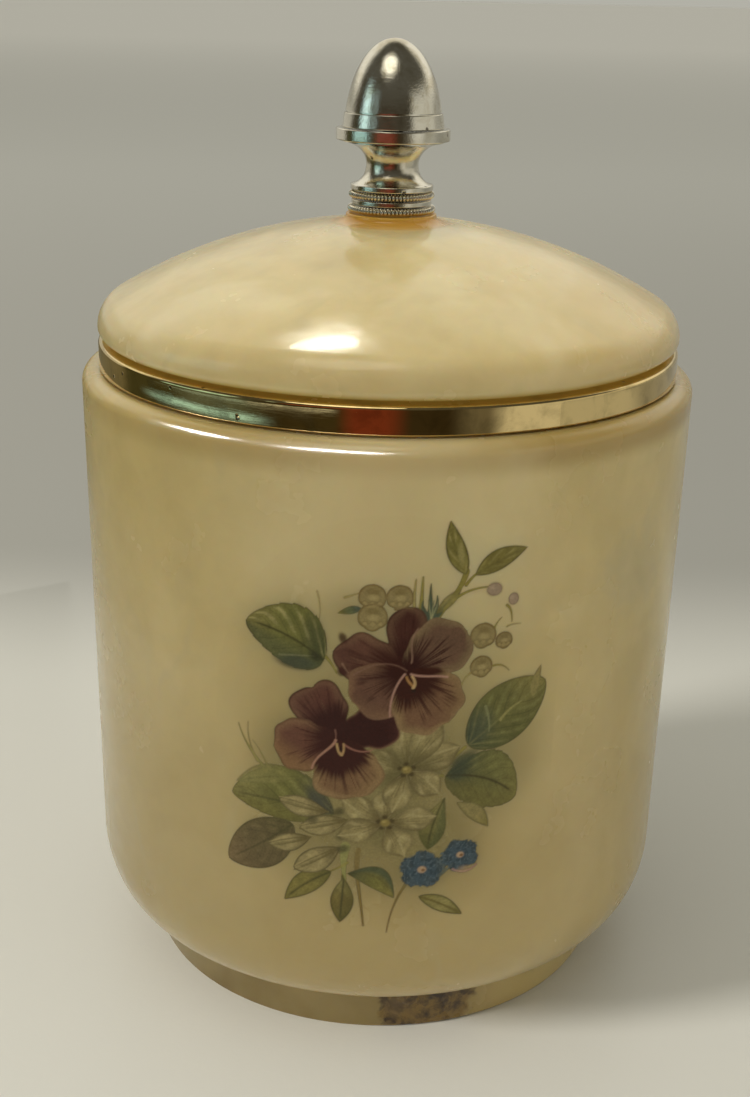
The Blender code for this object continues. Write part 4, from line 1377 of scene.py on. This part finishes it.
def build_room():
    """Light that comes from all round: even for matt surfaces, and for polished ones a dim side in front,
    pale sides and back, and a narrow cool window to the left."""
    world = bpy.data.worlds.new("room")
    world.use_nodes = True
    bpy.context.scene.world = world
    nodes = Nodes(world.node_tree)
    toward = nodes.add("TexCoord", {}).outputs["Generated"]
    x, y, z = nodes.parts(toward)
    bearing = nodes.math("ARCTAN2", x, nodes.times(y, -1.0))
    right_side = nodes.span(bearing, 0.72, 0.84)
    left_side = nodes.span(bearing, -2.10, -1.92, 1.0, 0.0)
    sides = nodes.math("MAXIMUM", right_side, left_side)
    sides = nodes.times(sides, nodes.span(z, 0.30, 0.50, 1.0, 0.0))
    dim = nodes.mixed(nodes.span(z, -0.1, 0.7), rgb(0.045, 0.036, 0.022), rgb(0.085, 0.08, 0.062))
    red = nodes.times(nodes.span(bearing, -0.24, -0.16), nodes.span(bearing, 0.04, 0.10, 1.0, 0.0))
    red = nodes.times(red, nodes.span(z, -0.1, 0.05, 1.0, 0.0))
    dim = nodes.mixed(nodes.times(red, 0.8), dim, rgb(0.16, 0.03, 0.02))
    seen = nodes.mixed(sides, dim, rgb(0.55, 0.53, 0.45))
    behind = nodes.times(nodes.span(y, 0.15, 0.5), nodes.span(z, 0.78, 0.88, 1.0, 0.0))
    back_wall = nodes.mixed(nodes.span(z, 0.12, 0.32), rgb(0.34, 0.33, 0.28), rgb(0.88, 0.84, 0.72))
    seen = nodes.mixed(behind, seen, back_wall)
    window = nodes.times(nodes.span(bearing, -1.40, -1.34), nodes.span(bearing, -1.06, -1.02, 1.0, 0.0))
    second = nodes.times(nodes.span(bearing, -0.84, -0.81), nodes.span(bearing, -0.77, -0.74, 1.0, 0.0))
    window = nodes.math("MAXIMUM", window, nodes.times(second, 0.6))
    high = nodes.times(nodes.span(z, -0.12, -0.02), nodes.span(z, 0.36, 0.50, 1.0, 0.0))
    seen = nodes.mixed(nodes.times(window, high), seen, rgb(0.80, 1.12, 1.14))
    even = nodes.mixed(nodes.span(z, -0.2, 0.9), rgb(0.34, 0.33, 0.29), rgb(0.54, 0.53, 0.48))
    path = nodes.add("LightPath", {})
    shown = nodes.mixed(path.outputs["Is Camera Ray"], even, rgb(0.445, 0.435, 0.38))
    light = nodes.mixed(path.outputs["Is Glossy Ray"], shown, seen)
    background = nodes.add("Background", {"Color": light, "Strength": 1.0})
    nodes.add("OutputWorld", {"Surface": background.outputs[0]})


def build_lights():
    """The lamps of the room. All but the front lamp are linked to the pieces they are meant for.

    The ceiling lamp behind leaves out the floor and the silver, and the large soft top light is on the jar
    alone. The front lamp shows only as a reflection. The low lamp on the left is on the floor alone and gives
    the jar's long shadow. The two windows are reflected in the body alone, along its shoulder.
    """
    warm, soft = (1.0, 0.95, 0.80), (1.0, 0.97, 0.92)
    jar_top, jar_middle = (0.0, 0.0, 0.15), (0.0, 0.0, 0.1)
    ceiling = (-0.34, 0.57, 1.85)
    ceiling_lamp = area_light("ceiling_lamp", ceiling, (-0.34, 0.57, 0.0), (0.38, 0.21), 6.5, warm)
    above = (0.1, -0.3, 2.0)
    top_fill = area_light("top_fill", above, jar_middle, (1.6, 1.6), 11.0, soft, glossy=False)
    area_light("front_lamp", (-0.30, -0.68, 1.45), jar_top, (0.95, 0.80), 3.0, warm, diffuse=False)
    low, beside = (-1.55, -0.58, 0.60), (0.1, 0.0, 0.0)
    low_left = area_light("low_left", low, beside, (0.42, 0.42), 37.0, soft, glossy=False)
    on_side = bpy.data.collections.new("lit_by_the_windows")
    on_side.objects.link(bpy.data.objects["body"])
    far, high, tall = 1.3, 0.80, 0.36
    for bearing, wide, watts in ((-19.0, 0.85, 40.0), (-73.0, 0.60, 30.0)):
        a = math.radians(bearing)
        place = (far * math.sin(a), -far * math.cos(a), high)
        window = area_light("window", place, jar_middle, (wide, tall), watts, soft, diffuse=False)
        window.light_linking.receiver_collection = on_side
    floor = bpy.data.objects["floor"]
    on_floor = bpy.data.collections.new("lit_from_the_left")
    on_floor.objects.link(floor)
    on_jar = bpy.data.collections.new("lit_from_above")
    on_stone = bpy.data.collections.new("lit_by_the_lamp")
    for obj in bpy.context.scene.collection.objects:
        if obj.type == "MESH" and obj != floor:
            on_jar.objects.link(obj)
            if obj.name not in SILVER_PIECES:
                on_stone.objects.link(obj)
    low_left.light_linking.receiver_collection = on_floor
    top_fill.light_linking.receiver_collection = on_jar
    ceiling_lamp.light_linking.receiver_collection = on_stone


def build_camera():
    """Set a little above the finial and tilted down, with the jar's axis leaning slightly in the frame."""
    distance, height = 0.2723, 0.1768
    pitch, yaw, roll = (math.radians(v) for v in (20.14, -0.32, 1.31))
    level = Vector((math.sin(yaw), math.cos(yaw), 0.0))
    ahead = level * math.cos(pitch) - Vector((0.0, 0.0, math.sin(pitch)))
    upright = level * math.sin(pitch) + Vector((0.0, 0.0, math.cos(pitch)))
    across = Vector((math.cos(yaw), -math.sin(yaw), 0.0))
    right = across * math.cos(roll) + upright * math.sin(roll)
    up = upright * math.cos(roll) - across * math.sin(roll)
    data = bpy.data.cameras.new("camera")
    data.sensor_fit = "VERTICAL"
    data.sensor_width = 36.0
    data.sensor_height = 36.0
    data.lens = 49.2
    data.clip_start, data.clip_end = 0.01, 1000.0
    camera = bpy.data.objects.new("camera", data)
    bpy.context.scene.collection.objects.link(camera)
    turn = Matrix((right, up, -ahead)).transposed().to_4x4()
    camera.matrix_world = Matrix.Translation((0.0, -distance, height)) @ turn
    bpy.context.scene.camera = camera


build_camera()
build_jar()
build_lid()
build_floor()
build_screen()
build_room()
build_lights()
bpy.context.scene.view_settings.view_transform = "Standard"
